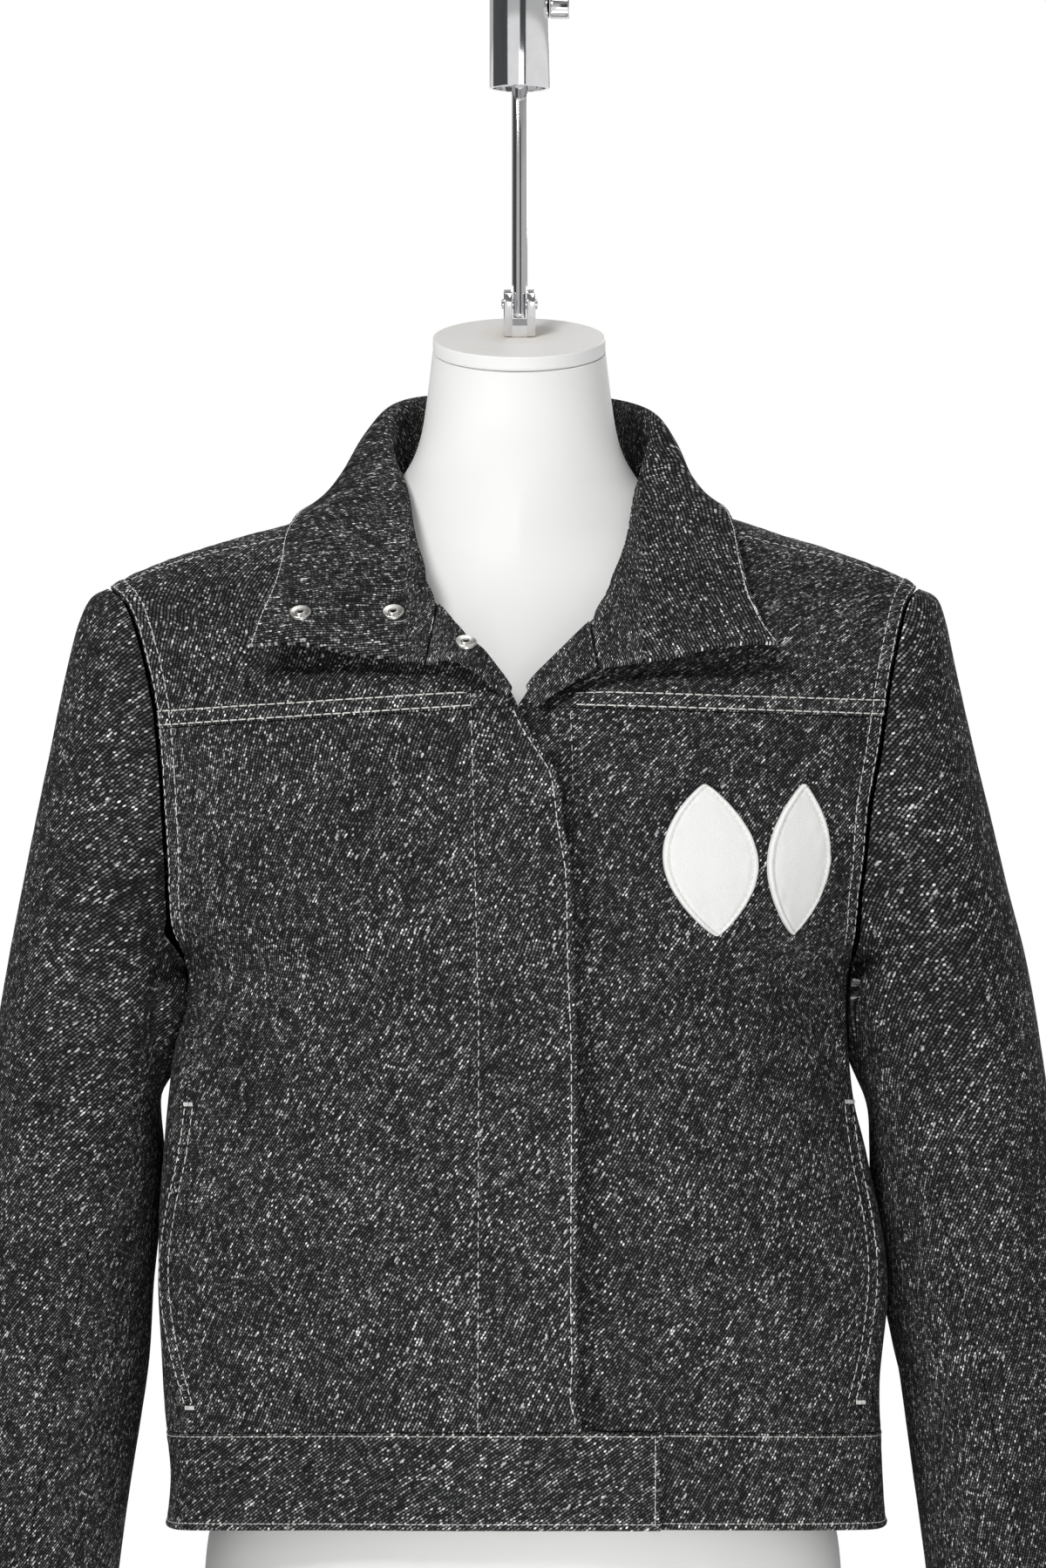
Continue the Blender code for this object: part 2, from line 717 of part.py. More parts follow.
def collar_section(side, station):
    """Gives the collar's section at a station: up from the neck seam, over the roll, down to the edge."""
    row = RIGHT_COLLAR.at if side == RIGHT else LEFT_COLLAR.at
    neck_across = row("neck_across", station)
    neck_level = row("neck_level", station)
    roll = Vector((row("roll_x", station), row("roll_y", station), row("roll_z", station)))
    edge = Vector((row("edge_x", station), row("edge_y", station), row("edge_z", station)))
    in_front = smooth((station - 2.6) / 0.8)
    neck = back_point(neck_across, neck_level).lerp(front_point(neck_across, neck_level), in_front)
    away = Vector((neck.x, neck.y, 0.0)).normalized()
    neck += Vector((0, 0, COLLAR_RISE)) - away * COLLAR_INSET
    outwards = Vector((edge.x - roll.x, edge.y - roll.y, 0.0)).normalized()
    radius = min(ROLL_RADIUS, ROLL_SHARE * (roll - neck).length)
    drop = Vector((0, 0, radius))
    roll_in = roll - outwards * radius - drop
    roll_out = roll + outwards * radius - drop * 0.7
    across_fall = outwards.cross(Vector((0, 0, 1)))
    bulge = across_fall.cross(edge - roll).normalized() * FALL_BULGE
    folded = [neck, neck.lerp(roll_in, 0.5) - away * STAND_LEAN, roll_in, roll, roll_out]
    turned = [roll.lerp(edge, step / 10) for step in (0, 1, 2, 3, 4)]
    for share in (0.25, 0.5, 0.75, 1.0):
        folded.append(roll_out.lerp(edge, share) + bulge * 4 * share * (1 - share))
        place = mix(0.4, 1.0, share)
        turned.append(roll.lerp(edge, place) + bulge * 4 * share * (1 - share))
    stand = smooth(COLLAR_TURN_STATION - station)
    return [flat.lerp(full, stand) for flat, full in zip(turned, folded)]


def lapel_section(side, part, count):
    """Gives a turned facing's section at a part of its height, from the roll to its edge."""
    row = RIGHT_LAPEL.at if side == RIGHT else LEFT_LAPEL.at
    proud = mix(LAPEL_TOP_RISE, LAPEL_RISE, smooth(part / 0.4))
    if side == RIGHT:
        proud += lap_of(row("roll_across", part)) * smooth(part / 0.6)
    roll = front_point(row("roll_across", part), row("roll_level", part), proud)
    edge = Vector((row("edge_x", part), row("edge_y", part), row("edge_z", part)))
    middle = roll.lerp(edge, 0.5) + Vector((0, -LAPEL_BULGE * smooth(part / 0.3), 0))
    return smooth_path([roll, middle, edge], count)


def material(name, colour, roughness, metallic=0.0):
    """Makes a plain finish."""
    made = bpy.data.materials.get(name) or bpy.data.materials.new(name)
    made.use_nodes = True
    shader = made.node_tree.nodes["Principled BSDF"]
    shader.inputs["Base Color"].default_value = (*colour, 1.0)
    shader.inputs["Roughness"].default_value = roughness
    shader.inputs["Metallic"].default_value = metallic
    made.diffuse_color = (*colour, 1.0)
    return made


def denim():
    """Gives the charcoal flecked denim."""
    return material("charcoal_denim", (0.022, 0.022, 0.024), 0.9)


def steel():
    """Gives the polished metal of the hanging gear."""
    return material("polished_steel", (0.62, 0.62, 0.63), 0.18, 1.0)


def leather():
    """Gives the white leather of the chest patches."""
    return material("white_leather", (0.80, 0.80, 0.78), 0.5)


def cap_grey():
    """Gives the painted metal of the neck's cap."""
    return material("cap_paint", (0.55, 0.54, 0.52), 0.4)


def form_white():
    """Gives the matt white of the dress form."""
    return material("form_white", (0.86, 0.86, 0.84), 0.55)


def place(name, mesh, finish, smooth_angle=40.0):
    """Puts a mesh in the jacket's collection as a named object."""
    mesh.shade_smooth()
    mesh.set_sharp_from_angle(angle=math.radians(smooth_angle))
    piece = bpy.data.objects.new(name, mesh)
    piece.data.materials.append(finish)
    collection().objects.link(piece)
    return piece


def collection():
    """Gives the object's collection."""
    found = bpy.data.collections.get("denim_jacket")
    if found is None:
        found = bpy.data.collections.new("denim_jacket")
        bpy.context.scene.collection.children.link(found)
    return found


def grid_mesh(name, rows, closed=False, flip=False):
    """Makes an open grid from rows of points."""
    made = bmesh.new()
    grid = [[made.verts.new(point * MM) for point in row] for row in rows]
    for low, high in zip(grid, grid[1:]):
        count = len(low)
        for index in range(count if closed else count - 1):
            after = (index + 1) % count
            corners = [low[index], low[after], high[after], high[index]]
            made.faces.new(reversed(corners) if flip else corners)
    mesh = bpy.data.meshes.new(name)
    made.to_mesh(mesh)
    made.free()
    return mesh


def thicken(piece, thickness):
    """Gives an open sheet its thickness, on the side away from its outer face."""
    solid = piece.modifiers.new("cloth", "SOLIDIFY")
    solid.thickness = thickness * MM
    solid.offset = -1.0
    solid.use_even_offset = False
    return piece


def path_length(point, steps=12):
    """Gives the length of a curve that is a function of a part."""
    found = [point(index / steps) for index in range(steps + 1)]
    return sum((after - before).length for before, after in zip(found, found[1:]))


def sheet(name, point, columns, rows, flip, thickness=CLOTH, gap=(SEAM, SEAM, SEAM, SEAM)):
    """Makes a cloth panel from a surface, a seam's gap inside its start, end, bottom and top."""
    start_gap, end_gap, bottom_gap, top_gap = gap
    grid = []
    for row in range(rows + 1):
        height = row / rows
        width = max(path_length(lambda part: point(part, height)), 1.0)
        line = []
        for column in range(columns + 1):
            share = column / columns
            share = mix(share, 0.5 - 0.5 * math.cos(math.pi * share), EDGE_CROWDING)
            part = mix(start_gap / width, 1 - end_gap / width, share)
            rise = max(path_length(lambda up: point(part, up), 6), 1.0)
            line.append(point(part, mix(bottom_gap / rise, 1 - top_gap / rise, height)))
        grid.append(line)
    return thicken(place(name, grid_mesh(name, grid, flip=flip), denim()), thickness)


def build_body():
    """Makes the fronts, yokes, sides, back and waistband."""
    for side in (RIGHT, LEFT):
        name = side_name(side)
        flip = side == LEFT
        sheet("front_" + name, lambda p, h: front_panel_point(side, p, h), 9, 12, flip,
              gap=(FRONT_SIDE_SEAM, SEAM, CORNER_SEAM, SEAM))
        sheet("yoke_" + name, lambda p, h: yoke_point(side, p, h), 9, 8, flip,
              gap=(SEAM, SEAM, SEAM, CORNER_SEAM))
        sheet("side_" + name, lambda p, h: side_point(side, p, h), 8, 10, not flip,
              gap=(SIDE_SEAM, SIDE_SEAM, CORNER_SEAM, CORNER_SEAM))
        sheet("waistband_" + name, lambda p, h: band_point(name, p, h), 14, 2, flip,
              gap=(SEAM, SEAM, 0.0, SEAM))
    sheet("back", back_panel_point, 18, 16, True,
          gap=(BACK_SIDE_SEAM, BACK_SIDE_SEAM, CORNER_SEAM, CORNER_SEAM))
    sheet("waistband_back", lambda p, h: band_point("back", p, h), 20, 2, True,
          gap=(SEAM, SEAM, 0.0, SEAM))


def build_sleeves():
    """Makes the two halves of each sleeve."""
    for side in (RIGHT, LEFT):
        name = side_name(side)
        flip = side == RIGHT
        sheet("top_sleeve_" + name, lambda p, h: top_sleeve_point(side, p, h * SLEEVE_LENGTH),
              9, 18, flip)
        sheet("under_sleeve_" + name, lambda p, h: under_sleeve_point(side, p, h * SLEEVE_LENGTH),
              8, 18, flip)


def build_collar():
    """Makes the folded collar in one piece, and the two turned facings below its ends."""
    rows = [collar_section(RIGHT, station) for station in COLLAR_STATIONS]
    rows += [collar_section(LEFT, station) for station in reversed(COLLAR_STATIONS[:-1])]
    thicken(place("collar", grid_mesh("collar", rows), denim()), DOUBLE_CLOTH)
    for side in (RIGHT, LEFT):
        rows = [lapel_section(side, step / 5, 4) for step in range(6)]
        name = "facing_" + side_name(side)
        thicken(place(name, grid_mesh(name, rows, flip=side == RIGHT), denim()), CLOTH)


def form_ring(level, steps=40):
    """Gives one level section of the dress form, tipped forward towards the neck's cap."""
    row = FORM.at
    tip = smooth((level - 715.0) / 50.0) * math.tan(CAP_TILT)
    found = []
    for step in range(steps):
        turn = 2 * math.pi * step / steps
        swing = math.sin(turn)
        reach = row("front", level) if swing < 0 else row("back", level)
        power = 2 / row("round", level)
        out = math.cos(turn)
        across = row("half_width", level) * math.copysign(abs(out) ** power, out)
        depth = reach * math.copysign(abs(swing) ** power, swing)
        middle = NECK_MIDDLE * smooth((level - 600.0) / 80.0)
        found.append(Vector((across + middle, depth, level + tip * depth)))
    return found


def build_form():
    """Makes the dress form as one closed body, flat underneath."""
    levels = [row[0] for row in FORM.rows]
    mesh = grid_mesh("dress_form", [form_ring(level) for level in levels], closed=True)
    made = bmesh.new()
    made.from_mesh(mesh)
    made.edges.ensure_lookup_table()
    bmesh.ops.holes_fill(made, edges=[edge for edge in made.edges if edge.is_boundary])
    bmesh.ops.triangulate(made, faces=[face for face in made.faces if len(face.verts) > 4])
    bmesh.ops.recalc_face_normals(made, faces=made.faces)
    made.to_mesh(mesh)
    made.free()
    return place("dress_form", mesh, form_white(), 50.0)


def surface_of(name):
    """Gives a piece's outer sheet as a surface that lines can be cast at."""
    mesh = bpy.data.objects[name].data
    corners = [corner.co for corner in mesh.vertices]
    return BVHTree.FromPolygons(corners, [tuple(face.vertices) for face in mesh.polygons])


def landing(surface, across, level):
    """Gives the point where a line straight back from the front meets a surface, or None."""
    spot = surface.ray_cast(Vector((across, -300.0, level)) * MM, Vector((0, 1, 0)))[0]
    return spot / MM if spot else None


def seat_of_disc(surface, across, level, radius):
    """Gives the centre and the normal of a disc that rests on a surface's high points."""
    centre = landing(surface, across, level)

    def ring(share):
        turns = [2 * math.pi * step / 12 for step in range(12)]
        return [landing(surface, across + radius * share * math.cos(turn),
                        level + radius * share * math.sin(turn)) for turn in turns]

    inner = ring(0.5)
    normal = (inner[0] - inner[6]).cross(inner[3] - inner[9]).normalized()
    reached = [spot for spot in ring(0.75) + ring(1.0) + ring(1.2) if spot]
    rise = max((spot - centre).dot(normal) for spot in reached)
    return centre + normal * max(rise, 0.0), normal


def turned(name, profile, finish, steps=32):
    """Makes a round piece from its profile, which runs from the axis over the top and down."""
    made = bmesh.new()
    corners = [made.verts.new(Vector((radius, 0, level)) * MM) for radius, level in profile]
    for start, end in zip(corners, corners[1:]):
        made.edges.new((start, end))
    mesh = bpy.data.meshes.new(name)
    made.to_mesh(mesh)
    made.free()
    piece = place(name, mesh, finish)
    spin = piece.modifiers.new("turning", "SCREW")
    spin.steps = steps
    spin.render_steps = steps
    spin.use_merge_vertices = True
    spin.merge_threshold = 0.00001
    spin.use_smooth_shade = False
    return piece


def drum(radius, foot, top, ease=0.0):
    """Gives the profile of a cylinder, with its two rims eased by a chamfer."""
    return [(0, top), (radius - ease, top), (radius, top - ease),
            (radius, foot + ease), (radius - ease, foot), (0, foot)]


def cutter(name, mesh, frame):
    """Keeps a shape as a cutter, out of sight."""
    shape = bpy.data.objects.new(name, mesh)
    shape.matrix_world = frame
    shape.hide_render = True
    shape.display_type = "WIRE"
    group = bpy.data.collections.get("cutters") or bpy.data.collections.new("cutters")
    if group.name not in bpy.context.scene.collection.children:
        bpy.context.scene.collection.children.link(group)
    group.objects.link(shape)
    return shape


def box_mesh(name, size, centre):
    """Makes a box."""
    made = bmesh.new()
    bmesh.ops.create_cube(made, size=1.0)
    bmesh.ops.scale(made, vec=Vector(size) * MM, verts=made.verts)
    bmesh.ops.translate(made, vec=Vector(centre) * MM, verts=made.verts)
    mesh = bpy.data.meshes.new(name)
    made.to_mesh(mesh)
    made.free()
    return mesh


def bore_mesh(name, radius, length, centre):
    """Makes a cylinder that lies along X."""
    made = bmesh.new()
    bmesh.ops.create_cone(made, cap_ends=True, segments=24, radius1=radius * MM, radius2=radius * MM,
                          depth=length * MM)
    bmesh.ops.rotate(made, cent=(0, 0, 0), matrix=Matrix.Rotation(math.pi / 2, 3, "Y"), verts=made.verts)
    bmesh.ops.translate(made, vec=Vector(centre) * MM, verts=made.verts)
    mesh = bpy.data.meshes.new(name)
    made.to_mesh(mesh)
    made.free()
    return mesh


def cut(piece, shape):
    """Takes a cutter's volume out of a piece."""
    change = piece.modifiers.new(shape.name, "BOOLEAN")
    change.operation = "DIFFERENCE"
    change.solver = "EXACT"
    change.object = shape


def build_snaps():
    """Sets the three snap sockets on the collar's right wing and on the facing below it."""
    for name, (ground, across, level) in SNAP_SEATS.items():
        spot, normal = seat_of_disc(surface_of(ground), across, level, SNAP_RADIUS)
        profile = [(SNAP_BORE, SNAP_HEIGHT * 0.7), (SNAP_BORE + 0.6, SNAP_HEIGHT),
                   (SNAP_RADIUS - 0.8, SNAP_HEIGHT), (SNAP_RADIUS, SNAP_HEIGHT * 0.5),
                   (SNAP_RADIUS, 0), (SNAP_BORE, 0), (SNAP_BORE, SNAP_HEIGHT * 0.7)]
        snap = turned(name, profile, steel(), 24)
        snap.location = (spot + normal * (DOUBLE_CLOTH + SNAP_STANDOFF)) * MM
        snap.rotation_euler = normal.to_track_quat("Z", "Y").to_euler()


def leaf_row(middle, half_width, lean, height, columns=6):
    """Gives one row of a leaf on the left front, a little off the panel."""
    swell = math.sin(math.pi * mix(0.03, 0.97, height)) ** 0.8
    level = PATCH_FOOT + PATCH_HEIGHT * height
    row = []
    for column in range(columns + 1):
        across = middle + lean * (height - 0.5) + half_width * swell * (2 * column / columns - 1)
        row.append(front_point(across, level, PATCH_STANDOFF + PATCH_THICKNESS))
    return row


def build_patches():
    """Lays the two leaf-shaped leather patches on the left front's chest."""
    leaves = (("patch_inner", 94.0, 24.0, -6.0), ("patch_outer", 139.0, 16.0, 5.0))
    for name, middle, half_width, lean in leaves:
        rows = [leaf_row(middle, half_width, lean, step / 12) for step in range(13)]
        thicken(place(name, grid_mesh(name, rows), leather()), PATCH_THICKNESS)


def build_hanger():
    """Makes the neck's cap and the gear that holds the form from above."""
    slope = math.tan(CAP_TILT)
    top_level = FORM.rows[-1][0]
    tilt = Matrix.Rotation(CAP_TILT, 4, "X")
    cap = turned("neck_cap", drum(CAP_RADIUS, 0, CAP_HEIGHT, 1.0), cap_grey(), 48)
    cap_foot = Vector((NECK_MIDDLE, 0, top_level)) + tilt.to_3x3() @ Vector((0, 0, REST))
    cap.matrix_world = Matrix.Translation(cap_foot * MM) @ tilt
    cap_top = top_level + (REST * 2 + CAP_HEIGHT) / math.cos(CAP_TILT)
    seat = Vector((CLEVIS_ACROSS, CLEVIS_BACK, cap_top + CLEVIS_BACK * slope))
    frame = Matrix.Translation(seat * MM) @ tilt
    block = box_mesh("clevis", (CLEVIS_WIDTH, CLEVIS_DEPTH, CLEVIS_HEIGHT), (0, 0, CLEVIS_HEIGHT / 2))
    clevis = place("clevis", block, steel())
    clevis.matrix_world = frame
    slot = box_mesh("clevis_slot", (SLOT_WIDTH, CLEVIS_DEPTH + 4, CLEVIS_HEIGHT),
                    (0, 0, SLOT_FLOOR + CLEVIS_HEIGHT / 2))
    cut(clevis, cutter("clevis_slot", slot, frame))
    bore = bore_mesh("pin_bore", PIN_RADIUS + BORE_EASE, CLEVIS_WIDTH + 8, (0, 0, PIN_HEIGHT))
    pin_bore = cutter("pin_bore", bore, frame)
    cut(clevis, pin_bore)
    edges = clevis.modifiers.new("edges", "BEVEL")
    edges.width = 0.8 * MM
    edges.segments = 1
    pin_spot = frame @ (Vector((0, 0, PIN_HEIGHT)) * MM)
    pin = turned("clevis_pin", drum(PIN_RADIUS, -PIN_LENGTH / 2, PIN_LENGTH / 2, 0.5), steel(), 24)
    pin.matrix_world = Matrix.Translation(pin_spot) @ Matrix.Rotation(math.pi / 2, 4, "Y")
    build_rod(pin_spot / MM, pin_bore)
    build_tube(pin_spot.y / MM)


def build_rod(pin_spot, pin_bore):
    """Makes the rod, flattened at its foot to a tongue for the clevis."""
    foot = pin_spot.z - 7.0
    rod = turned("rod", drum(ROD_RADIUS, foot, ROD_TOP, 0.8), steel(), 24)
    rod.location = Vector((CLEVIS_ACROSS, pin_spot.y, 0)) * MM
    for side in (RIGHT, LEFT):
        flat = box_mesh("tongue_flat", (4, 12, TONGUE_LENGTH), (side * (TONGUE_WIDTH / 2 + 2), 0, 0))
        place_at = Matrix.Translation(Vector((CLEVIS_ACROSS, pin_spot.y, foot + TONGUE_LENGTH / 2 - 1)) * MM)
        cut(rod, cutter("tongue_flat_" + side_name(side), flat, place_at))
    cut(rod, pin_bore)


def build_tube(depth):
    """Makes the drop tube round the rod's top, and its clamp screw."""
    bore = ROD_RADIUS + REST
    profile = [(0, TUBE_TOP), (TUBE_RADIUS, TUBE_TOP), (TUBE_RADIUS, TUBE_FOOT + 0.5),
               (TUBE_RADIUS - 0.5, TUBE_FOOT), (TUBE_BORE, TUBE_FOOT), (TUBE_BORE, TUBE_FOOT + RIM_DEPTH),
               (bore, TUBE_FOOT + RIM_DEPTH), (bore, ROD_TOP + REST), (0, ROD_TOP + REST)]
    tube = turned("drop_tube", profile, steel(), 40)
    tube.location = Vector((CLEVIS_ACROSS, depth, 0)) * MM
    screw = turned("clamp_screw", drum(SCREW_RADIUS, 0, SCREW_LENGTH, 0.8), steel(), 24)
    screw.location = Vector((CLEVIS_ACROSS + TUBE_RADIUS + REST, depth, SCREW_LEVEL)) * MM
    screw.rotation_euler = (0, math.pi / 2, 0)


def main():
    """Clears the scene and makes every piece."""
    for old in list(bpy.data.objects):
        bpy.data.objects.remove(old, do_unlink=True)
    build_body()
    build_sleeves()
    build_collar()
    build_snaps()
    build_patches()
    build_form()
    build_hanger()


main()
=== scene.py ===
"""Dresses the denim jacket, its white dress form and the gear that holds the form from above."""
import logging
import math
from collections.abc import Callable, Sequence
from dataclasses import dataclass, field, replace
from enum import Enum, IntEnum
from functools import cache, partial

import bmesh
import bpy
import numpy as np
from mathutils import Matrix, Vector, noise
from mathutils.bvhtree import BVHTree


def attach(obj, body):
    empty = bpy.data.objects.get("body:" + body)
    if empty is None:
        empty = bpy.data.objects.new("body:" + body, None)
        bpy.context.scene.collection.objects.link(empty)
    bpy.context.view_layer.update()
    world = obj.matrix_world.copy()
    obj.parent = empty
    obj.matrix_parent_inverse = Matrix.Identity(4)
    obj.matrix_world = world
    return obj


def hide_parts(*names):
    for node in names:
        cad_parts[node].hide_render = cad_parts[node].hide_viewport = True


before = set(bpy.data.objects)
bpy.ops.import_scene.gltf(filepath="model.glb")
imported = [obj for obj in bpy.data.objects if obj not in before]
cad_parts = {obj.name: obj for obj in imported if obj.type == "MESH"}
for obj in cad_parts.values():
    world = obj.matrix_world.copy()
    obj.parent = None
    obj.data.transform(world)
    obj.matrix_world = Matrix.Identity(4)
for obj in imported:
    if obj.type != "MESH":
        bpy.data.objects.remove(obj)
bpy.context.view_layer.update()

LOG = logging.getLogger("jacket")
MM = 0.001


class Side(IntEnum):
    """The wearer's sides. The right one lies on the viewer's left, where X is negative."""

    RIGHT = -1
    LEFT = 1

    @property
    def word(self) -> str:
        """Gives the side's name."""
        return "right" if self is Side.RIGHT else "left"


class Run(Enum):
    """Where a row of stitches follows a panel's outline."""

    START = "start"
    END = "end"
    FOOT = "foot"
    TOP = "top"


class Table:
    """Rows of numbers under named columns, read between rows by a smooth curve."""

    def __init__(self, names: str, rows: Sequence[tuple[float, ...]]) -> None:
        """Keeps the rows."""
        self.names = names.split()
        self.rows = rows

    @cache
    def at(self, name: str, value: float) -> float:
        """Gives a column's value where the first column has the given value.

        Args:
            name: The column's name.
            value: The first column's value.

        Returns:
            The number between the rows.
        """
        rows, column = self.rows, self.names.index(name)
        value = min(max(value, rows[0][0]), rows[-1][0])
        after = 1
        while rows[after][0] < value:
            after += 1
        low, high = rows[after - 1], rows[after]
        before, beyond = rows[max(after - 2, 0)], rows[min(after + 1, len(rows) - 1)]
        span = high[0] - low[0]
        t = (value - low[0]) / span
        start = span * (high[column] - before[column]) / (high[0] - before[0])
        end = span * (beyond[column] - low[column]) / (beyond[0] - low[0])
        return ((2 * t**3 - 3 * t**2 + 1) * low[column] + (t**3 - 2 * t**2 + t) * start
                + (3 * t**2 - 2 * t**3) * high[column] + (t**3 - t**2) * end)


BODY = Table("level right_side left_side right_seam left_seam front back", [
    (165, 183, 186.5, 166, 172, 104, 98), (190, 181, 185, 165, 171.5, 105, 98),
    (214, 183, 184, 167, 171, 106, 99), (244, 185, 183.5, 173.5, 173.5, 107, 100),
    (284, 188, 188, 181, 181, 109, 100), (305, 187.8, 187, 181, 180.5, 110, 100),
    (330, 187, 182.5, 178, 177, 111, 100), (357, 184, 176.5, 173, 172.5, 112, 101),
    (381, 181.5, 170.5, 170, 166, 112, 101), (412, 178, 167.5, 168.5, 164, 112, 102),
    (432, 173, 166.8, 168.5, 164.5, 112, 102), (447, 172, 167.5, 170, 166, 112, 103),
    (458, 175, 170, 173.5, 168.5, 112, 103)])

CHEST = Table("level front back front_edge back_edge", [
    (450, 112, 103, -5, 5), (452, 112, 103, 8, 18), (458, 112, 103, 23, 33), (470, 112, 104, 37, 47),
    (488, 112, 105, 48, 58), (500, 112, 105, 53, 63), (520, 112, 106, 59, 67), (540, 112, 106, 62, 70),
    (720, 112, 106, 62, 70)])

ARMHOLE = Table("level right left", [
    (450, 172, 167.5), (458, 174.5, 168.8), (470, 179, 170), (488, 180.5, 171), (500, 180.5, 172.5),
    (534, 182, 175.5), (562, 184, 180.5), (585, 186.5, 184), (605, 191, 187.5), (622, 196, 191.5),
    (634, 201, 195), (641, 206, 198.5), (646, 213, 203)])

YOKE_SEAM = Table("across level", [
    (-215, 570), (-187, 573), (-110, 577), (0, 584), (110, 583), (215, 577)])

RIDGE = Table("across level", [
    (-213, 646), (-200, 653), (-188, 658), (-174, 663.2), (-150, 670.5), (-115, 680), (-78, 691), (0, 714),
    (78, 691), (103, 683), (129, 674.5), (158, 665.5), (184, 656), (196, 650.5), (203, 646)])

RIGHT_EDGE = Table("level across", [
    (165, 69), (222, 29.2), (250, 27.8), (283, 27.1), (410, 27.3), (459, 25.5), (501, 24.5), (523, 20.9),
    (550, 17), (560, 11.3), (575, 1.8), (589, -4.3), (602, -12.2), (613, -21.8), (624, -31.4), (636, -43.6)])

LEFT_EDGE = Table("level across", [
    (165, -18), (540, -18), (560, -14), (575, -8), (590, -0.9), (598, 4.8), (610, 16.2), (627, 34)])

RIGHT_NECK = Table("part across level", [
    (0, -43.6, 636), (0.25, -53, 648), (0.5, -63, 661), (0.75, -72, 675.5), (1, -78, 691)])

LEFT_NECK = Table("part across level", [
    (0, 34, 627), (0.25, 46.5, 641), (0.5, 59, 656), (0.75, 70.5, 673), (1, 78, 691)])

BACK_NECK = Table("part across level", [
    (0, -78, 691), (0.12, -72, 690.5), (0.3, -48, 694), (0.5, 0, 697), (0.7, 48, 694), (0.88, 72, 690.5),
    (1, 78, 691)])

SLEEVE = Table("station inner inner_level outer_right outer_left outer_level front back middle seam_turn", [
    (0, 173.5, 450, 214.5, 205, 646, 62, 70, 5, 0.5), (1, 175.5, 449, 222.5, 213, 641, 64, 72, 5, 0.52),
    (2, 177.5, 447, 229.5, 218.5, 627, 66, 73, 6, 0.54), (3, 179.5, 444, 236, 224, 602, 68, 74, 7, 0.58),
    (4, 182, 440, 243.5, 232, 568, 69, 73, 8, 0.62), (5, 184.5, 434, 251.5, 242, 530, 70, 71, 9, 0.68),
    (6, 186.5, 425, 259, 251, 492, 70, 69, 11, 0.75), (7, 189.5, 410, 266.5, 260.5, 456, 68, 67, 13, 0.83),
    (8, 191, 385, 273.5, 268, 412, 65, 65, 16, 0.92), (9, 191, 350, 279, 275, 364, 61, 62, 19, 1.06),
    (10, 191.5, 300, 284.5, 281.5, 308, 57, 58, 20, 1.24), (11, 194, 255, 288, 286, 258, 54, 55, 18, 1.38),
    (12, 199.5, 210, 291, 290, 210, 51, 52, 14, 1.5), (13, 206, 160, 294, 294, 158, 49, 49, 8, 1.6),
    (14, 212, 110, 297, 297, 106, 47, 47, 2, 1.68), (15, 217, 66, 299, 299, 62, 46, 46, -3, 1.75)])

RIGHT_COLLAR = Table("station neck_across neck_level roll_x roll_y roll_z edge_x edge_y edge_z", [
    (0, 0, 697, 0, 69, 749.2, 0, 86, 703), (1, -46, 694.5, -38.5, 61, 748.2, -50, 79, 701),
    (2, -71, 690.5, -61, 38, 744.2, -81, 54, 698), (3, -78, 691, -72.5, 8, 733.3, -99, 14, 691),
    (4, -77.5, 687.5, -70.5, -14, 714.5, -113, -17, 683.5), (5, -73, 677.5, -63.3, -37, 696.7, -121, -46, 670),
    (6, -64.5, 663.5, -59.5, -60, 675, -123, -67, 655), (7, -54, 649.5, -52.5, -81, 655.5, -127, -83, 641),
    (7.5, -48.8, 642.5, -48.3, -89, 645.5, -130, -88, 634), (8, -43.6, 636, -43.6, -94, 636, -133, -93, 627),
    (9, -49.5, 606, -49.5, -106, 606, -137.5, -99, 614)])

LEFT_COLLAR = Table("station neck_across neck_level roll_x roll_y roll_z edge_x edge_y edge_z", [
    (0, 0, 697, 0, 69, 749.2, 0, 86, 703), (1, 46, 694.5, 38.5, 61, 747.2, 48, 79, 700),
    (2, 71, 690.5, 61, 38, 741.2, 77, 55, 698), (3, 78, 691, 70.5, 8, 729.3, 90, 14, 689.5),
    (4, 77.5, 687.5, 66.5, -14, 711.5, 102, -18, 686), (5, 72.5, 676.5, 61.3, -37.5, 692.7, 107.5, -46, 674),
    (6, 60.5, 658.5, 56.5, -62, 670.2, 110, -67, 659), (7, 48.5, 643.5, 47, -84, 649.5, 113.5, -83, 642),
    (7.5, 41.5, 635.5, 41, -92.5, 639, 116.5, -88, 634), (8, 34.5, 627.5, 34.5, -98, 627.5, 120, -93, 626),
    (9, 38.5, 603, 38.5, -106, 603, 128.5, -99, 615)])

RIGHT_LAPEL = Table("part roll_across roll_level edge_x edge_y edge_z", [
    (0, -42, 635.5, -48, -106, 605), (0.3, -33, 625.5, -38.5, -108.5, 606.5),
    (0.6, -21.8, 613, -27, -110.5, 603), (0.85, -11.5, 601, -13.5, -112, 592),
    (1, -5.5, 592.5, -7.5, -111, 586.5)])

LEFT_LAPEL = Table("part roll_across roll_level edge_x edge_y edge_z", [
    (0, 32.9, 626.5, 37, -106, 602), (0.3, 24.5, 618, 28, -108, 598), (0.6, 14, 607.5, 18, -109, 591.5),
    (0.85, 5.5, 599, 9.5, -108.5, 585.5), (1, 1.5, 593.5, 5.5, -107.5, 583)])

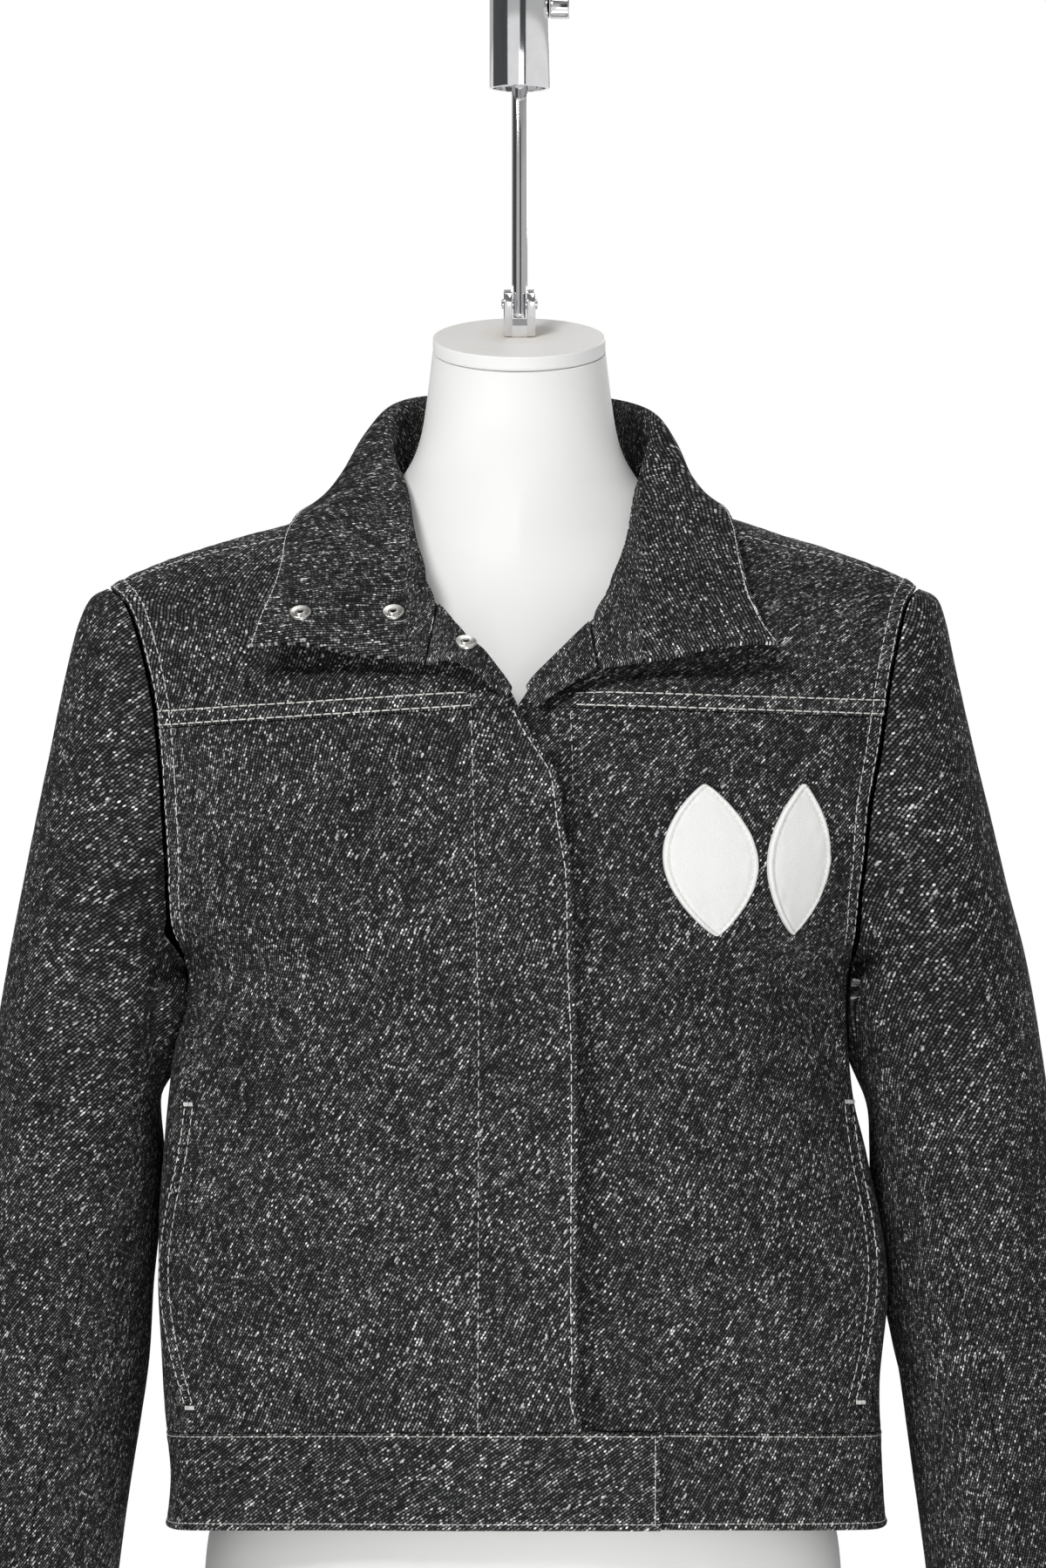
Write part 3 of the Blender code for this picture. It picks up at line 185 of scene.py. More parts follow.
FORM = Table("level half_width front back round", [
    (0, 165, 96, 88, 2.3), (70, 167, 98, 89, 2.3), (140, 164, 95, 87, 2.3), (165, 161, 92, 85, 2.3),
    (200, 149, 88, 80, 2.3), (250, 134, 82, 74, 2.3), (300, 131, 81, 73, 2.3), (350, 138, 86, 77, 2.3),
    (400, 148, 92, 82, 2.3), (450, 154, 95, 86, 2.3), (500, 156, 95, 88, 2.3), (550, 157, 92, 86, 2.3),
    (590, 159, 84, 80, 2.3), (620, 160, 73, 71, 2.2), (640, 160, 65, 62, 2), (652, 158, 60, 56, 1.6),
    (659, 153, 57, 53, 1.4), (664, 144, 55.5, 51, 1.3), (670, 132, 54, 49, 1.3), (676.1, 115, 52.5, 47, 1.3),
    (682.7, 93, 51, 45.5, 1.35), (688, 77, 49.5, 44.5, 1.5), (692, 69.5, 48.5, 44, 1.65),
    (697.4, 65, 47.8, 44, 1.8), (704, 59, 47, 44, 1.95), (718, 52, 46.5, 44, 2.05), (740, 48, 46, 44, 2),
    (757, 45.9, 45, 44, 2), (768, 44.7, 44.7, 44.7, 2)])


def mix(start: float, end: float, part: float) -> float:
    """Gives the value at a part of the way from start to end."""
    return start + (end - start) * part


def smooth(part: float) -> float:
    """Gives a share between 0 and 1 that starts and ends gently."""
    part = min(max(part, 0.0), 1.0)
    return part * part * (3 - 2 * part)


def bezier(a: Sequence[float], b: Sequence[float], c: Sequence[float], t: float) -> list[float]:
    """Gives a point on a quadratic curve from a to c that leans towards b."""
    return [(1 - t) ** 2 * a[k] + 2 * t * (1 - t) * b[k] + t * t * c[k] for k in range(len(a))]


def ellipse_share(turn: float) -> float:
    """Gives the share of a sleeve's width passed at a turn, from its inner to its outer edge."""
    return 0.5 - 0.5 * math.cos(turn)


Border = Callable[[float], tuple[float, float]]


def filled(start: Border, end: Border, part: float, height: float, top: Border | None = None) -> list[float]:
    """Fills the space between two borders, with a straight foot.

    Args:
        start: The border at part 0.
        end: The border at part 1.
        part: Share of the way from start to end.
        height: Share of the way up.
        top: The upper border, or None for a straight one.

    Returns:
        The distance across and the level.
    """
    low, high = start(height), end(height)
    found = [mix(low[axis], high[axis], part) for axis in (0, 1)]
    if top:
        first, last, here = top(0.0), top(1.0), top(part)
        found = [found[axis] + (here[axis] - mix(first[axis], last[axis], part)) * height for axis in (0, 1)]
    return found


def smooth_path(points: Sequence[Vector], count: int) -> list[Vector]:
    """Gives a smooth path through a few points.

    Args:
        points: Points to pass through.
        count: Number of equal steps.

    Returns:
        The path's points, one more than the steps.
    """
    fine = []
    last = len(points) - 1
    for index in range(last):
        before, low, high = points[max(index - 1, 0)], points[index], points[index + 1]
        beyond = points[min(index + 2, last)]
        for step in range(8):
            t = step / 8
            bend = 2 * before - 5 * low + 4 * high - beyond
            fine.append(0.5 * ((2 * low) + (high - before) * t + bend * t * t
                               + (3 * low - before - 3 * high + beyond) * t**3))
    return evenly([*fine, points[last]], count)


def evenly(points: Sequence[Vector], count: int) -> list[Vector]:
    """Spaces points evenly along a path.

    Args:
        points: The path's corners.
        count: Number of equal steps.

    Returns:
        The points, one more than the steps.
    """
    lengths = [0.0]
    for before, after in zip(points, points[1:]):
        lengths.append(lengths[-1] + (after - before).length)
    found = []
    step = 0
    for index in range(count + 1):
        target = lengths[-1] * index / count
        while step < len(points) - 2 and lengths[step + 1] < target:
            step += 1
        span = lengths[step + 1] - lengths[step]
        found.append(points[step].lerp(points[step + 1], (target - lengths[step]) / span if span else 0.0))
    return found


@dataclass(frozen=True)
class JacketCut:
    """The jacket's cut: its sizes, and the surfaces that its panels lie on.

    Lengths are millimetres. X runs to the wearer's left, -Y to the front and Z up. A turn round an armhole or a
    sleeve is 0 at the armpit, pi / 2 in front and pi at the shoulder.
    """

    lap: float = 4.6
    hem_level: float = 165.0
    band_level: float = 214.0
    armpit_level: float = 450.0
    seam_top_level: float = 458.0
    chest_level: float = 520.0
    shoulder_tip_level: float = 646.0
    front_lift: float = 8.0
    lift_ends: float = 400.0
    neck_point_across: float = 78.0
    yoke_ends: float = 187.0
    rounds: tuple[float, float] = (3.0, 2.7)
    falls: tuple[float, float] = (2.2, 3.2)
    side_middle: float = -8.0
    seam_forward: float = 18.0
    seam_lean: float = 3.2
    back_set: float = 10.0
    turned_share: float = 0.5
    neck_ease: float = 1.7
    back_shoulder: float = 0.28
    back_seam_share: float = 0.5
    front_band_side_share: float = 0.2
    band_side_share: float = 0.85
    tab_end: float = 69.0
    tab_level: float = 222.0
    underlap: float = 18.0
    sleeve_start: float = 1.0
    sleeve_round_by: float = 6.0
    back_seam_turn: float = math.radians(292)
    collar_inset: float = 1.4
    collar_rise: float = 1.5
    collar_turn_station: float = 8.0
    stand_lean: float = 1.5
    roll_radius: float = 3.6
    roll_share: float = 0.3
    fall_bulge: float = 2.5
    lapel_rise: float = 2.6
    lapel_top_rise: float = 4.6
    lapel_bulge: float = 2.5

    def shoulder_fade(self, across: float, level: float, back: bool) -> float:
        """Gives how much of the chest's depth is left towards the shoulder seam."""
        height = (level - self.chest_level) / (RIDGE.at("level", across) - self.chest_level)
        return math.sqrt(max(1 - min(max(height, 0.0), 1.0) ** self.falls[back], 0.0))

    def seam(self, level: float, side: Side) -> tuple[float, float]:
        """Gives the side-front seam's distance from the middle, and how far forward it lies."""
        across = BODY.at(side.word + "_seam", level)
        return across, self.seam_forward + self.seam_lean * (BODY.at(side.word + "_side", level) - across)

    def edge_of(self, level: float, side: Side, back: bool = False) -> tuple[float, float]:
        """Gives a sheet's outer edge: the side seam, and above it the armhole.

        Args:
            level: The height.
            side: The wearer's side.
            back: Whether it is the back's edge.

        Returns:
            The edge's distance from the middle and its depth.
        """
        if level < self.seam_top_level:
            across, depth = self.seam(level, side)
            return across, depth + self.back_set * back
        return ARMHOLE.at(side.word, level), CHEST.at("back_edge" if back else "front_edge", level)

    def depth(self, across: float, level: float, back: bool = False) -> float:
        """Gives the outer face's depth: the front sheet's to the front, or the back's to the back.

        Args:
            across: Distance to the wearer's left.
            level: The height.
            back: Whether it is the back's depth.

        Returns:
            The depth.
        """
        edge, edge_depth = self.edge_of(level, Side.LEFT if across > 0 else Side.RIGHT, back)
        middle = (BODY if level < self.seam_top_level else CHEST).at("back" if back else "front", level)
        turn = (abs(across) / edge) ** self.rounds[back]
        return (middle - (middle - edge_depth) * turn) * self.shoulder_fade(across, level, back)

    def lift(self, level: float, depth: float) -> float:
        """Gives how far the hem rises towards the front, at a depth in front of the middle."""
        fade = 1 - smooth((level - self.band_level) / (self.lift_ends - self.band_level))
        return self.front_lift * fade * max(depth / 105.0, 0.0) ** 2

    def lap_of(self, across: float) -> float:
        """Gives how far the upper front stands off the lower one, over the fastening and beside it."""
        return self.lap * smooth((across + 110.0) / 80.0)

    def front_point(self, across: float, level: float, proud: float = 0.0) -> Vector:
        """Gives a point on the front sheet, moved forward by a distance."""
        depth = self.depth(across, level)
        return Vector((across, -depth - proud, level + self.lift(level, depth)))

    def back_point(self, across: float, level: float) -> Vector:
        """Gives a point on the back sheet."""
        return Vector((across, self.depth(across, level, True), level))

    def armhole_point(self, turn: float, side: Side) -> Vector:
        """Gives a point on the armhole. The turn passes the front first, then the shoulder and the back.

        Args:
            turn: Angle in radians.
            side: The wearer's side.

        Returns:
            The point.
        """
        level = mix(self.armpit_level, self.shoulder_tip_level, ellipse_share(turn))
        across = side * ARMHOLE.at(side.word, level)
        back = math.sin(turn) < 0
        edge = CHEST.at("back_edge" if back else "front_edge", level)
        depth = edge * self.shoulder_fade(across, level, back)
        return Vector((across, depth if back else -depth, level))

    def turn_at(self, level: float) -> float:
        """Gives the turn at which the armhole's front passes a level."""
        return math.acos(1 - 2 * (level - self.armpit_level) / (self.shoulder_tip_level - self.armpit_level))

    def body_side(self, level: float, side: Side, part: float) -> Vector:
        """Gives a point on the side panel's section, from the front seam (0) to the back seam (1).

        Args:
            level: The height.
            side: The wearer's side.
            part: Share of the way across.

        Returns:
            The point.
        """
        seam, front = self.seam(level, side)
        widest = BODY.at(side.word + "_side", level)
        back = front + self.back_set
        middle = (widest, self.side_middle + 12.0 * smooth((level - 400.0) / 50.0))
        if part < 0.5:
            slope = self.rounds[0] * (BODY.at("front", level) - front) / seam
            corner = (widest, max(min(-front + slope * (widest - seam), middle[1] - 4), -front))
            across, depth = bezier((seam, -front), corner, middle, 2 * part)
        else:
            slope = self.rounds[1] * (BODY.at("back", level) - back) / seam
            corner = (widest, min(max(back - slope * (widest - seam), middle[1] + 4), back))
            across, depth = bezier(middle, corner, (seam, back), 2 * part - 1)
        return Vector((side * across, depth, level + self.lift(level, -depth)))

    def side_point(self, side: Side, part: float, height: float) -> Vector:
        """Gives a point on the side panel. Part runs front to back, height from the band to the armpit.

        Args:
            side: The wearer's side.
            part: Share of the way across.
            height: Share of the way up.

        Returns:
            The point.
        """
        turn = self.turn_at(self.seam_top_level)
        top = self.armhole_point(mix(turn, -turn, part), side)
        found = self.body_side(mix(self.band_level, top.z, height), side, part)
        return found + (top - self.body_side(top.z, side, part)) * height**8

    def front_panel_point(self, side: Side, part: float, height: float) -> Vector:
        """Gives a point on a front, from its outer edge (0) to its fastening edge (1), band to yoke.

        Args:
            side: The wearer's side.
            part: Share of the way across.
            height: Share of the way up.

        Returns:
            The point.
        """
        edge = RIGHT_EDGE if side is Side.RIGHT else LEFT_EDGE

        def outer(rise: float) -> tuple[float, float]:
            """Gives the outer edge."""
            level = mix(self.band_level, YOKE_SEAM.at("level", side * self.yoke_ends), rise)
            return side * self.edge_of(level, side)[0], level

        def inner(rise: float) -> tuple[float, float]:
            """Gives the inner edge."""
            level = mix(self.band_level, YOKE_SEAM.at("level", 0.0), rise)
            return edge.at("across", max(level, self.tab_level)), level

        across, level = filled(outer, inner, part, height)
        return self.front_point(across, level, self.lap_of(across) if side is Side.RIGHT else 0.0)

    def yoke_point(self, side: Side, part: float, height: float) -> Vector:
        """Gives a point on a yoke, from the armhole (0) to the neck (1), seam to shoulder.

        Args:
            side: The wearer's side.
            part: Share of the way across.
            height: Share of the way up.

        Returns:
            The point.
        """
        edge, neck = (RIGHT_EDGE, RIGHT_NECK) if side is Side.RIGHT else (LEFT_EDGE, LEFT_NECK)

        def outer(rise: float) -> tuple[float, float]:
            """Gives the outer edge."""
            start = self.turn_at(YOKE_SEAM.at("level", side * self.yoke_ends))
            found = self.armhole_point(mix(start, math.pi, rise), side)
            return found.x, found.z

        def inner(rise: float) -> tuple[float, float]:
            """Gives the inner edge."""
            if rise < self.turned_share:
                level = mix(YOKE_SEAM.at("level", 0.0), edge.rows[-1][0], rise / self.turned_share)
                return edge.at("across", level), level
            along = 1 - ((1 - rise) / (1 - self.turned_share)) ** self.neck_ease
            return neck.at("across", along), neck.at("level", along)

        def shoulder(along: float) -> tuple[float, float]:
            """Gives the shoulder's edge."""
            across = mix(outer(1.0)[0], inner(1.0)[0], along)
            return across, RIDGE.at("level", across)

        across, level = filled(outer, inner, part, height, shoulder)
        proud = self.lap_of(across) * (1 - height) ** 2 if side is Side.RIGHT else 0.0
        return self.front_point(across, min(level, RIDGE.at("level", across)), proud)

    def back_top(self, part: float) -> tuple[float, float]:
        """Gives the across and the level along the back's top: shoulder, neckline, shoulder.

        Args:
            part: Share of the way across.

        Returns:
            The distance across and the level.
        """
        for side, from_tip in ((Side.RIGHT, part), (Side.LEFT, 1 - part)):
            if from_tip < self.back_shoulder:
                tip = ARMHOLE.at(side.word, self.shoulder_tip_level)
                across = side * mix(tip, self.neck_point_across, from_tip / self.back_shoulder)
                return across, RIDGE.at("level", across)
        along = (part - self.back_shoulder) / (1 - 2 * self.back_shoulder)
        return BACK_NECK.at("across", along), BACK_NECK.at("level", along)

    def back_panel_point(self, part: float, height: float) -> Vector:
        """Gives a point on the back, from the wearer's right (0) to left (1), band to shoulders.

        Args:
            part: Share of the way across.
            height: Share of the way up.

        Returns:
            The point.
        """
        def outer(side: Side, rise: float) -> tuple[float, float]:
            """Gives the outer edge."""
            if rise < self.back_seam_share:
                level = mix(self.band_level, self.seam_top_level, rise / self.back_seam_share)
                return side * BODY.at(side.word + "_seam", level), level
            above = (rise - self.back_seam_share) / (1 - self.back_seam_share)
            found = self.armhole_point(mix(-self.turn_at(self.seam_top_level), -math.pi, above), side)
            return found.x, found.z

        edges = partial(outer, Side.RIGHT), partial(outer, Side.LEFT)
        across, level = filled(*edges, part, height, self.back_top)
        return self.back_point(across, min(level, RIDGE.at("level", across)))

    def band_point(self, section: str, part: float, height: float) -> Vector:
        """Gives a point on a stretch of the waistband, hem to top.

        Args:
            section: The stretch: right, left or back.
            part: Share of the way across.
            height: Share of the way up.

        Returns:
            The point.
        """
        level = mix(self.hem_level, self.band_level, height)
        if section == "back":
            turn = mix(-1.0, 1.0, part)
            side = Side.RIGHT if turn < 0 else Side.LEFT
            if abs(turn) > self.band_side_share:
                along = (1 - abs(turn)) / (1 - self.band_side_share)
                return self.body_side(level, side, mix(0.5, 1.0, along))
            seam = BODY.at(side.word + "_seam", level)
            return self.back_point(side * seam * abs(turn) / self.band_side_share, level)
        side = Side.RIGHT if section == "right" else Side.LEFT
        if part < self.front_band_side_share:
            return self.body_side(level, side, mix(0.5, 0.0, part / self.front_band_side_share))
        end = self.tab_end if side is Side.RIGHT else -self.underlap
        across = mix(side * BODY.at(side.word + "_seam", level), end,
                     (part - self.front_band_side_share) / (1 - self.front_band_side_share))
        return self.front_point(across, level, self.lap_of(across) if side is Side.RIGHT else 0.0)

    def sleeve_point(self, side: Side, turn: float, station: float) -> Vector:
        """Gives a point on a sleeve.

        Args:
            side: The wearer's side.
            turn: Angle in radians.
            station: Place in the table's steps.

        Returns:
            The point.
        """
        row, name = SLEEVE.at, side.word
        share, swing = ellipse_share(turn), math.sin(turn)
        inner = Vector((side * row("inner", station), 0.0, row("inner_level", station)))
        outer = Vector((side * row("outer_" + name, station), 0.0, row("outer_level", station)))
        round_point = inner.lerp(outer, share)
        round_point.y = row("middle", station) - row("front" if swing > 0 else "back", station) * swing
        armhole = self.armhole_point(turn, side)
        armhole.x += side * self.sleeve_start
        armpit, tip = (Vector((side * ARMHOLE.at(name, level), 0.0, level))
                       for level in (self.armpit_level, self.shoulder_tip_level))
        first_line = mix(side * row("inner", 0), side * row("outer_" + name, 0), share)
        shaped = inner.lerp(outer, share)
        shaped.x += armhole.x - mix(first_line, armpit.lerp(tip, share).x, smooth(station / 1.2))
        shaped.y = armhole.y * mix(1.0, 1.1, min(station, 1.0))
        return shaped.lerp(round_point, smooth(station / self.sleeve_round_by))

    def top_sleeve_point(self, side: Side, part: float, station: float) -> Vector:
        """Gives a point on the outer half of a sleeve, front seam to back seam."""
        turn = mix(SLEEVE.at("seam_turn", station), self.back_seam_turn, part)
        return self.sleeve_point(side, turn, station)

    def under_sleeve_point(self, side: Side, part: float, station: float) -> Vector:
        """Gives a point on the inner half of a sleeve, back seam to front seam."""
        end = 2 * math.pi + SLEEVE.at("seam_turn", station)
        return self.sleeve_point(side, mix(self.back_seam_turn, end, part), station)

    def collar_section(self, side: Side, station: float) -> list[Vector]:
        """Gives the collar's section at a station.

        Args:
            side: The wearer's side.
            station: Place in the table's steps.

        Returns:
            Nine points from the neck seam over the roll to the edge.
        """
        row = RIGHT_COLLAR.at if side is Side.RIGHT else LEFT_COLLAR.at
        spot = row("neck_across", station), row("neck_level", station)
        roll, edge = (Vector([row(line + axis, station) for axis in "xyz"]) for line in ("roll_", "edge_"))
        neck = self.back_point(*spot).lerp(self.front_point(*spot), smooth((station - 2.6) / 0.8))
        away = Vector((neck.x, neck.y, 0.0)).normalized()
        neck += Vector((0, 0, self.collar_rise)) - away * self.collar_inset
        outwards = Vector((edge.x - roll.x, edge.y - roll.y, 0.0)).normalized()
        radius = min(self.roll_radius, self.roll_share * (roll - neck).length)
        drop = Vector((0, 0, radius))
        roll_in = roll - outwards * radius - drop
        roll_out = roll + outwards * radius - drop * 0.7
        across_fall = outwards.cross(Vector((0, 0, 1)))
        bulge = across_fall.cross(edge - roll).normalized() * self.fall_bulge
        folded = [neck, neck.lerp(roll_in, 0.5) - away * self.stand_lean, roll_in, roll, roll_out]
        turned = [roll.lerp(edge, step / 10) for step in (0, 1, 2, 3, 4)]
        hollow = smooth((5.5 - station) / 2.5)
        for share in (0.25, 0.5, 0.75, 1.0):
            swell = mix(4 * share * (1 - share), 0.6 * math.sin(2 * math.pi * share), hollow)
            folded.append(roll_out.lerp(edge, share) + bulge * swell)
            turned.append(roll.lerp(edge, mix(0.4, 1.0, share)) + bulge * 4 * share * (1 - share))
        stand = smooth(self.collar_turn_station - station)
        return [flat.lerp(full, stand) for flat, full in zip(turned, folded)]

    def lapel_section(self, side: Side, part: float, count: int) -> list[Vector]:
        """Gives a turned facing's section at a part of its height.

        Args:
            side: The wearer's side.
            part: Share of the way down.
            count: Number of steps.

        Returns:
            Points from the roll to the edge.
        """
        row = RIGHT_LAPEL.at if side is Side.RIGHT else LEFT_LAPEL.at
        proud = mix(self.lapel_top_rise, self.lapel_rise, smooth(part / 0.4))
        if side is Side.RIGHT:
            proud += self.lap_of(row("roll_across", part)) * smooth(part / 0.6)
        roll = self.front_point(row("roll_across", part), row("roll_level", part), proud)
        edge = Vector([row("edge_" + axis, part) for axis in "xyz"])
        middle = roll.lerp(edge, 0.5) + Vector((0, -self.lapel_bulge * smooth(part / 0.3), 0))
        return smooth_path([roll, middle, edge], count)


Number = float | int


class Field:
    """A shader socket that takes part in written sums, so that a formula adds its own nodes."""

    def __init__(self, tree: bpy.types.NodeTree, socket: bpy.types.NodeSocket) -> None:
        """Keeps the output that the field stands for, and its tree."""
        self.tree = tree
        self.socket = socket

    def maths(self, operation: str, *others: "Field | Number",
              first: "Field | Number | None" = None) -> "Field":
        """Adds one Math node."""
        inputs = dict(enumerate((self if first is None else first, *others)))
        return added(self.tree, "ShaderNodeMath", {"operation": operation}, inputs)

    def __add__(self, other: "Field | Number") -> "Field":
        """Adds a field or a number."""
        return self.maths("ADD", other)

    def __radd__(self, other: Number) -> "Field":
        """Is added to a number."""
        return self.maths("ADD", other)

    def __sub__(self, other: "Field | Number") -> "Field":
        """Takes a field or a number away."""
        return self.maths("SUBTRACT", other)

    def __rsub__(self, other: Number) -> "Field":
        """Is taken from a number."""
        return self.maths("SUBTRACT", self, first=other)

    def __mul__(self, other: "Field | Number") -> "Field":
        """Multiplies by a field or a number."""
        return self.maths("MULTIPLY", other)

    def __rmul__(self, other: Number) -> "Field":
        """Multiplies a number."""
        return self.maths("MULTIPLY", other)

    def __truediv__(self, other: Number) -> "Field":
        """Divides by a number."""
        return self.maths("DIVIDE", other)

    def __pow__(self, other: Number) -> "Field":
        """Raises to a power."""
        return self.maths("POWER", other)

    def held(self) -> "Field":
        """Holds the value between 0 and 1."""
        return added(self.tree, "ShaderNodeClamp", {}, {"Value": self})

    def held_over(self, least: float) -> "Field":
        """Holds the value above a least value."""
        return self.maths("MAXIMUM", least)


def added(tree: bpy.types.NodeTree, kind: str, settings: dict[str, object],
          inputs: dict[str | int, object], output: str | int = 0) -> Field:
    """Adds a node of any type.

    Args:
        tree: The node tree.
        kind: The node's type.
        settings: The node's own settings, set first; "stops" holds a ramp's places and colours.
        inputs: Values or fields for its inputs, by name or number.
        output: The output to give back, by name or number.

    Returns:
        The chosen output.
    """
    node = tree.nodes.new(kind)
    for key, value in settings.items():
        if key == "stops":
            ramp = node.color_ramp
            while len(ramp.elements) < len(value):
                ramp.elements.new(1.0)
            for element, (place, colour) in zip(ramp.elements, value):
                element.position = place
                element.color = (*colour, 1.0)
        else:
            setattr(node, key, value)
    for key, value in inputs.items():
        if isinstance(value, Field):
            tree.links.new(value.socket, node.inputs[key])
        else:
            node.inputs[key].default_value = value
    return Field(tree, node.outputs[output])


Colour = tuple[float, float, float]


def tinted(tree: bpy.types.NodeTree, share: Field, low: Colour | Field, high: Colour | Field) -> Field:
    """Mixes two colours.

    Args:
        tree: The node tree.
        share: How much of the second colour shows.
        low: The first colour.
        high: The second colour.

    Returns:
        The mixed colour.
    """
    ends = [colour if isinstance(colour, Field) else (*colour, 1.0) for colour in (low, high)]
    inputs = {"Factor": share, "A": ends[0], "B": ends[1]}
    return added(tree, "ShaderNodeMix", {"data_type": "RGBA"}, inputs, "Result")


@dataclass(frozen=True)
class Bench:
    """One material's node tree and its surface shader, with the steps that the finishes share."""

    tree: bpy.types.NodeTree
    shader: bpy.types.ShaderNode

    def node(self, kind: str, settings: dict[str, object], inputs: dict[str | int, object],
             output: str | int = 0) -> Field:
        """Adds a node of any type to the material."""
        return added(self.tree, kind, settings, inputs, output)

    def vector(self, operation: str, inputs: dict[str | int, object], output: str | int = 0) -> Field:
        """Adds a Vector Math node."""
        return self.node("ShaderNodeVectorMath", {"operation": operation}, inputs, output)

    def place(self) -> Field:
        """Gives the object's own coordinates in millimetres."""
        return self.vector("SCALE", {0: self.node("ShaderNodeTexCoord", {}, {}, "Object"), "Scale": 1000.0})

    def grain(self, at: Field, scale: float, detail: float = 2.0) -> Field:
        """Gives soft noise, near 0.5 in the mean."""
        return self.node("ShaderNodeTexNoise", {}, {"Vector": at, "Scale": scale, "Detail": detail})

    def tint(self, share: Field, low: Colour | Field, high: Colour | Field) -> Field:
        """Mixes two colours."""
        return tinted(self.tree, share, low, high)

    def set(self, name: str, value: float) -> None:
        """Sets one of the shader's inputs to a constant."""
        self.shader.inputs[name].default_value = value

    def coat(self, colour: Field, roughness: Field, height: Field | None = None, depth: float = 0.0,
             strength: float = 0.0) -> None:
        """Leads the colour, the roughness and a fine relief into the shader.

        Args:
            colour: The colour.
            roughness: The roughness.
            height: The relief's height, between 0 and 1, or None for no relief.
            depth: The relief's full depth in metres.
            strength: How strongly it shows.
        """
        wanted = {"Base Color": colour, "Roughness": roughness}
        if height:
            wanted["Normal"] = self.node(
                "ShaderNodeBump", {}, {"Height": height, "Distance": depth, "Strength": strength})
        for name, value in wanted.items():
            self.tree.links.new(value.socket, self.shader.inputs[name])


class Finish:
    """A surface finish: one material with its own nodes, made once and shared."""

    slot: str = ""

    def material(self) -> bpy.types.Material:
        """Gives the finish's material, made at its first use.

        Returns:
            The material.
        """
        name = type(self).__name__.lower()
        ready = bpy.data.materials.get(name)
        if ready:
            return ready
        made = bpy.data.materials.new(name)
        made.use_nodes = True
        tree = made.node_tree
        tree.nodes.clear()
        shader = tree.nodes.new("ShaderNodeBsdfPrincipled")
        out = tree.nodes.new("ShaderNodeOutputMaterial")
        tree.links.new(shader.outputs[0], out.inputs["Surface"])
        self.dress(Bench(tree, shader))
        return made

    def dress(self, bench: Bench) -> None:
        """Adds the finish's nodes; each finish has its own."""
        raise NotImplementedError


@dataclass(frozen=True)
class Denim(Finish):
    """Near-black twill: rows of small weft floats, most of them grey and a few of them white."""

    slot: str = "charcoal_denim"
    float_pitch: float = 1.7
    rib_pitch: float = 1.45
    dark: Colour = (0.0022, 0.0023, 0.0030)
    pale: Colour = (0.80, 0.80, 0.79)

    def dress(self, bench: Bench) -> None:
        """Adds the floats, the slubs, their uneven spread and the paler worn edges.

        Args:
            bench: The material's nodes.
        """
        laid = bench.node("ShaderNodeUVMap", {"uv_map": "cloth"}, {})
        flat = bench.vector("SCALE", {0: laid, "Scale": 1000.0})
        parts = [bench.node("ShaderNodeSeparateXYZ", {}, {0: flat}, number) for number in (0, 1)]
        sway = bench.grain(flat, 0.035, 1.0)
        drift = bench.grain(flat, 0.45, 1.0)
        along = parts[0] + drift * 0.9
        across = parts[1] + sway * 3.0 + drift * 0.45
        spread = bench.grain(flat, 0.022) - 0.5
        patches = bench.grain(flat, 0.16, 1.0) - 0.5
        wear = bench.node("ShaderNodeAttribute", {"attribute_name": "wear"}, {}, "Fac")
        fuzz = bench.grain(flat, 2.6)
        stretched = bench.node("ShaderNodeCombineXYZ", {}, {"X": along * 0.07, "Y": across * 0.42})
        streaks = bench.grain(stretched, 1.0) - 0.5
        lively = (1.0 + spread * 1.5 + patches * 1.2 + streaks * 2.6 + wear * 0.45).held_over(0.22)
        floats, pick = self.cells(bench, along / self.float_pitch, across / self.rib_pitch, 0.47, 0.34)
        slubs, choice = self.cells(bench, along / 3.9 + 7.3, across / 1.9 + 3.1, 0.42, 0.26)
        bright = 0.024 + pick ** 2.0 * 0.205 + pick ** 13.0 * 0.52
        thick = ((choice - 0.972) * 60.0).held() * slubs
        share = (floats * bright * lively + thick * 0.5 + fuzz * 0.008).held()
        bench.set("Specular IOR Level", 0.08)
        bench.coat(bench.tint(share, self.dark, self.pale), 0.95 - share * 0.15, floats * 0.75 + fuzz * 0.35,
                   0.00028, 0.6)

    def cells(self, bench: Bench, along: Field, across: Field, length: float,
              width: float) -> tuple[Field, Field]:
        """Lays short rounded floats in staggered rows.

        Args:
            bench: The material's nodes.
            along: Place along the rows, in floats.
            across: Place across the rows, in rows.
            length: Half a float's length, as a share of its pitch.
            width: Half its width, as a share of the rows' pitch.

        Returns:
            How strongly a float shows, and a number between 0 and 1 that each float draws by lot.
        """
        row = across.maths("FLOOR")
        shifted = along + bench.node("ShaderNodeTexWhiteNoise", {"noise_dimensions": "1D"}, {"W": row})
        column = shifted.maths("FLOOR")
        off_along = (shifted - column - 0.5) / length
        off_across = (across - row - 0.5) / width
        reach = (off_along * off_along + off_across * off_across).maths("SQRT")
        place = bench.node("ShaderNodeCombineXYZ", {}, {"X": column, "Y": row})
        lot = bench.node("ShaderNodeTexWhiteNoise", {"noise_dimensions": "2D"}, {"Vector": place})
        return ((1.12 - reach) * 2.6).held(), lot


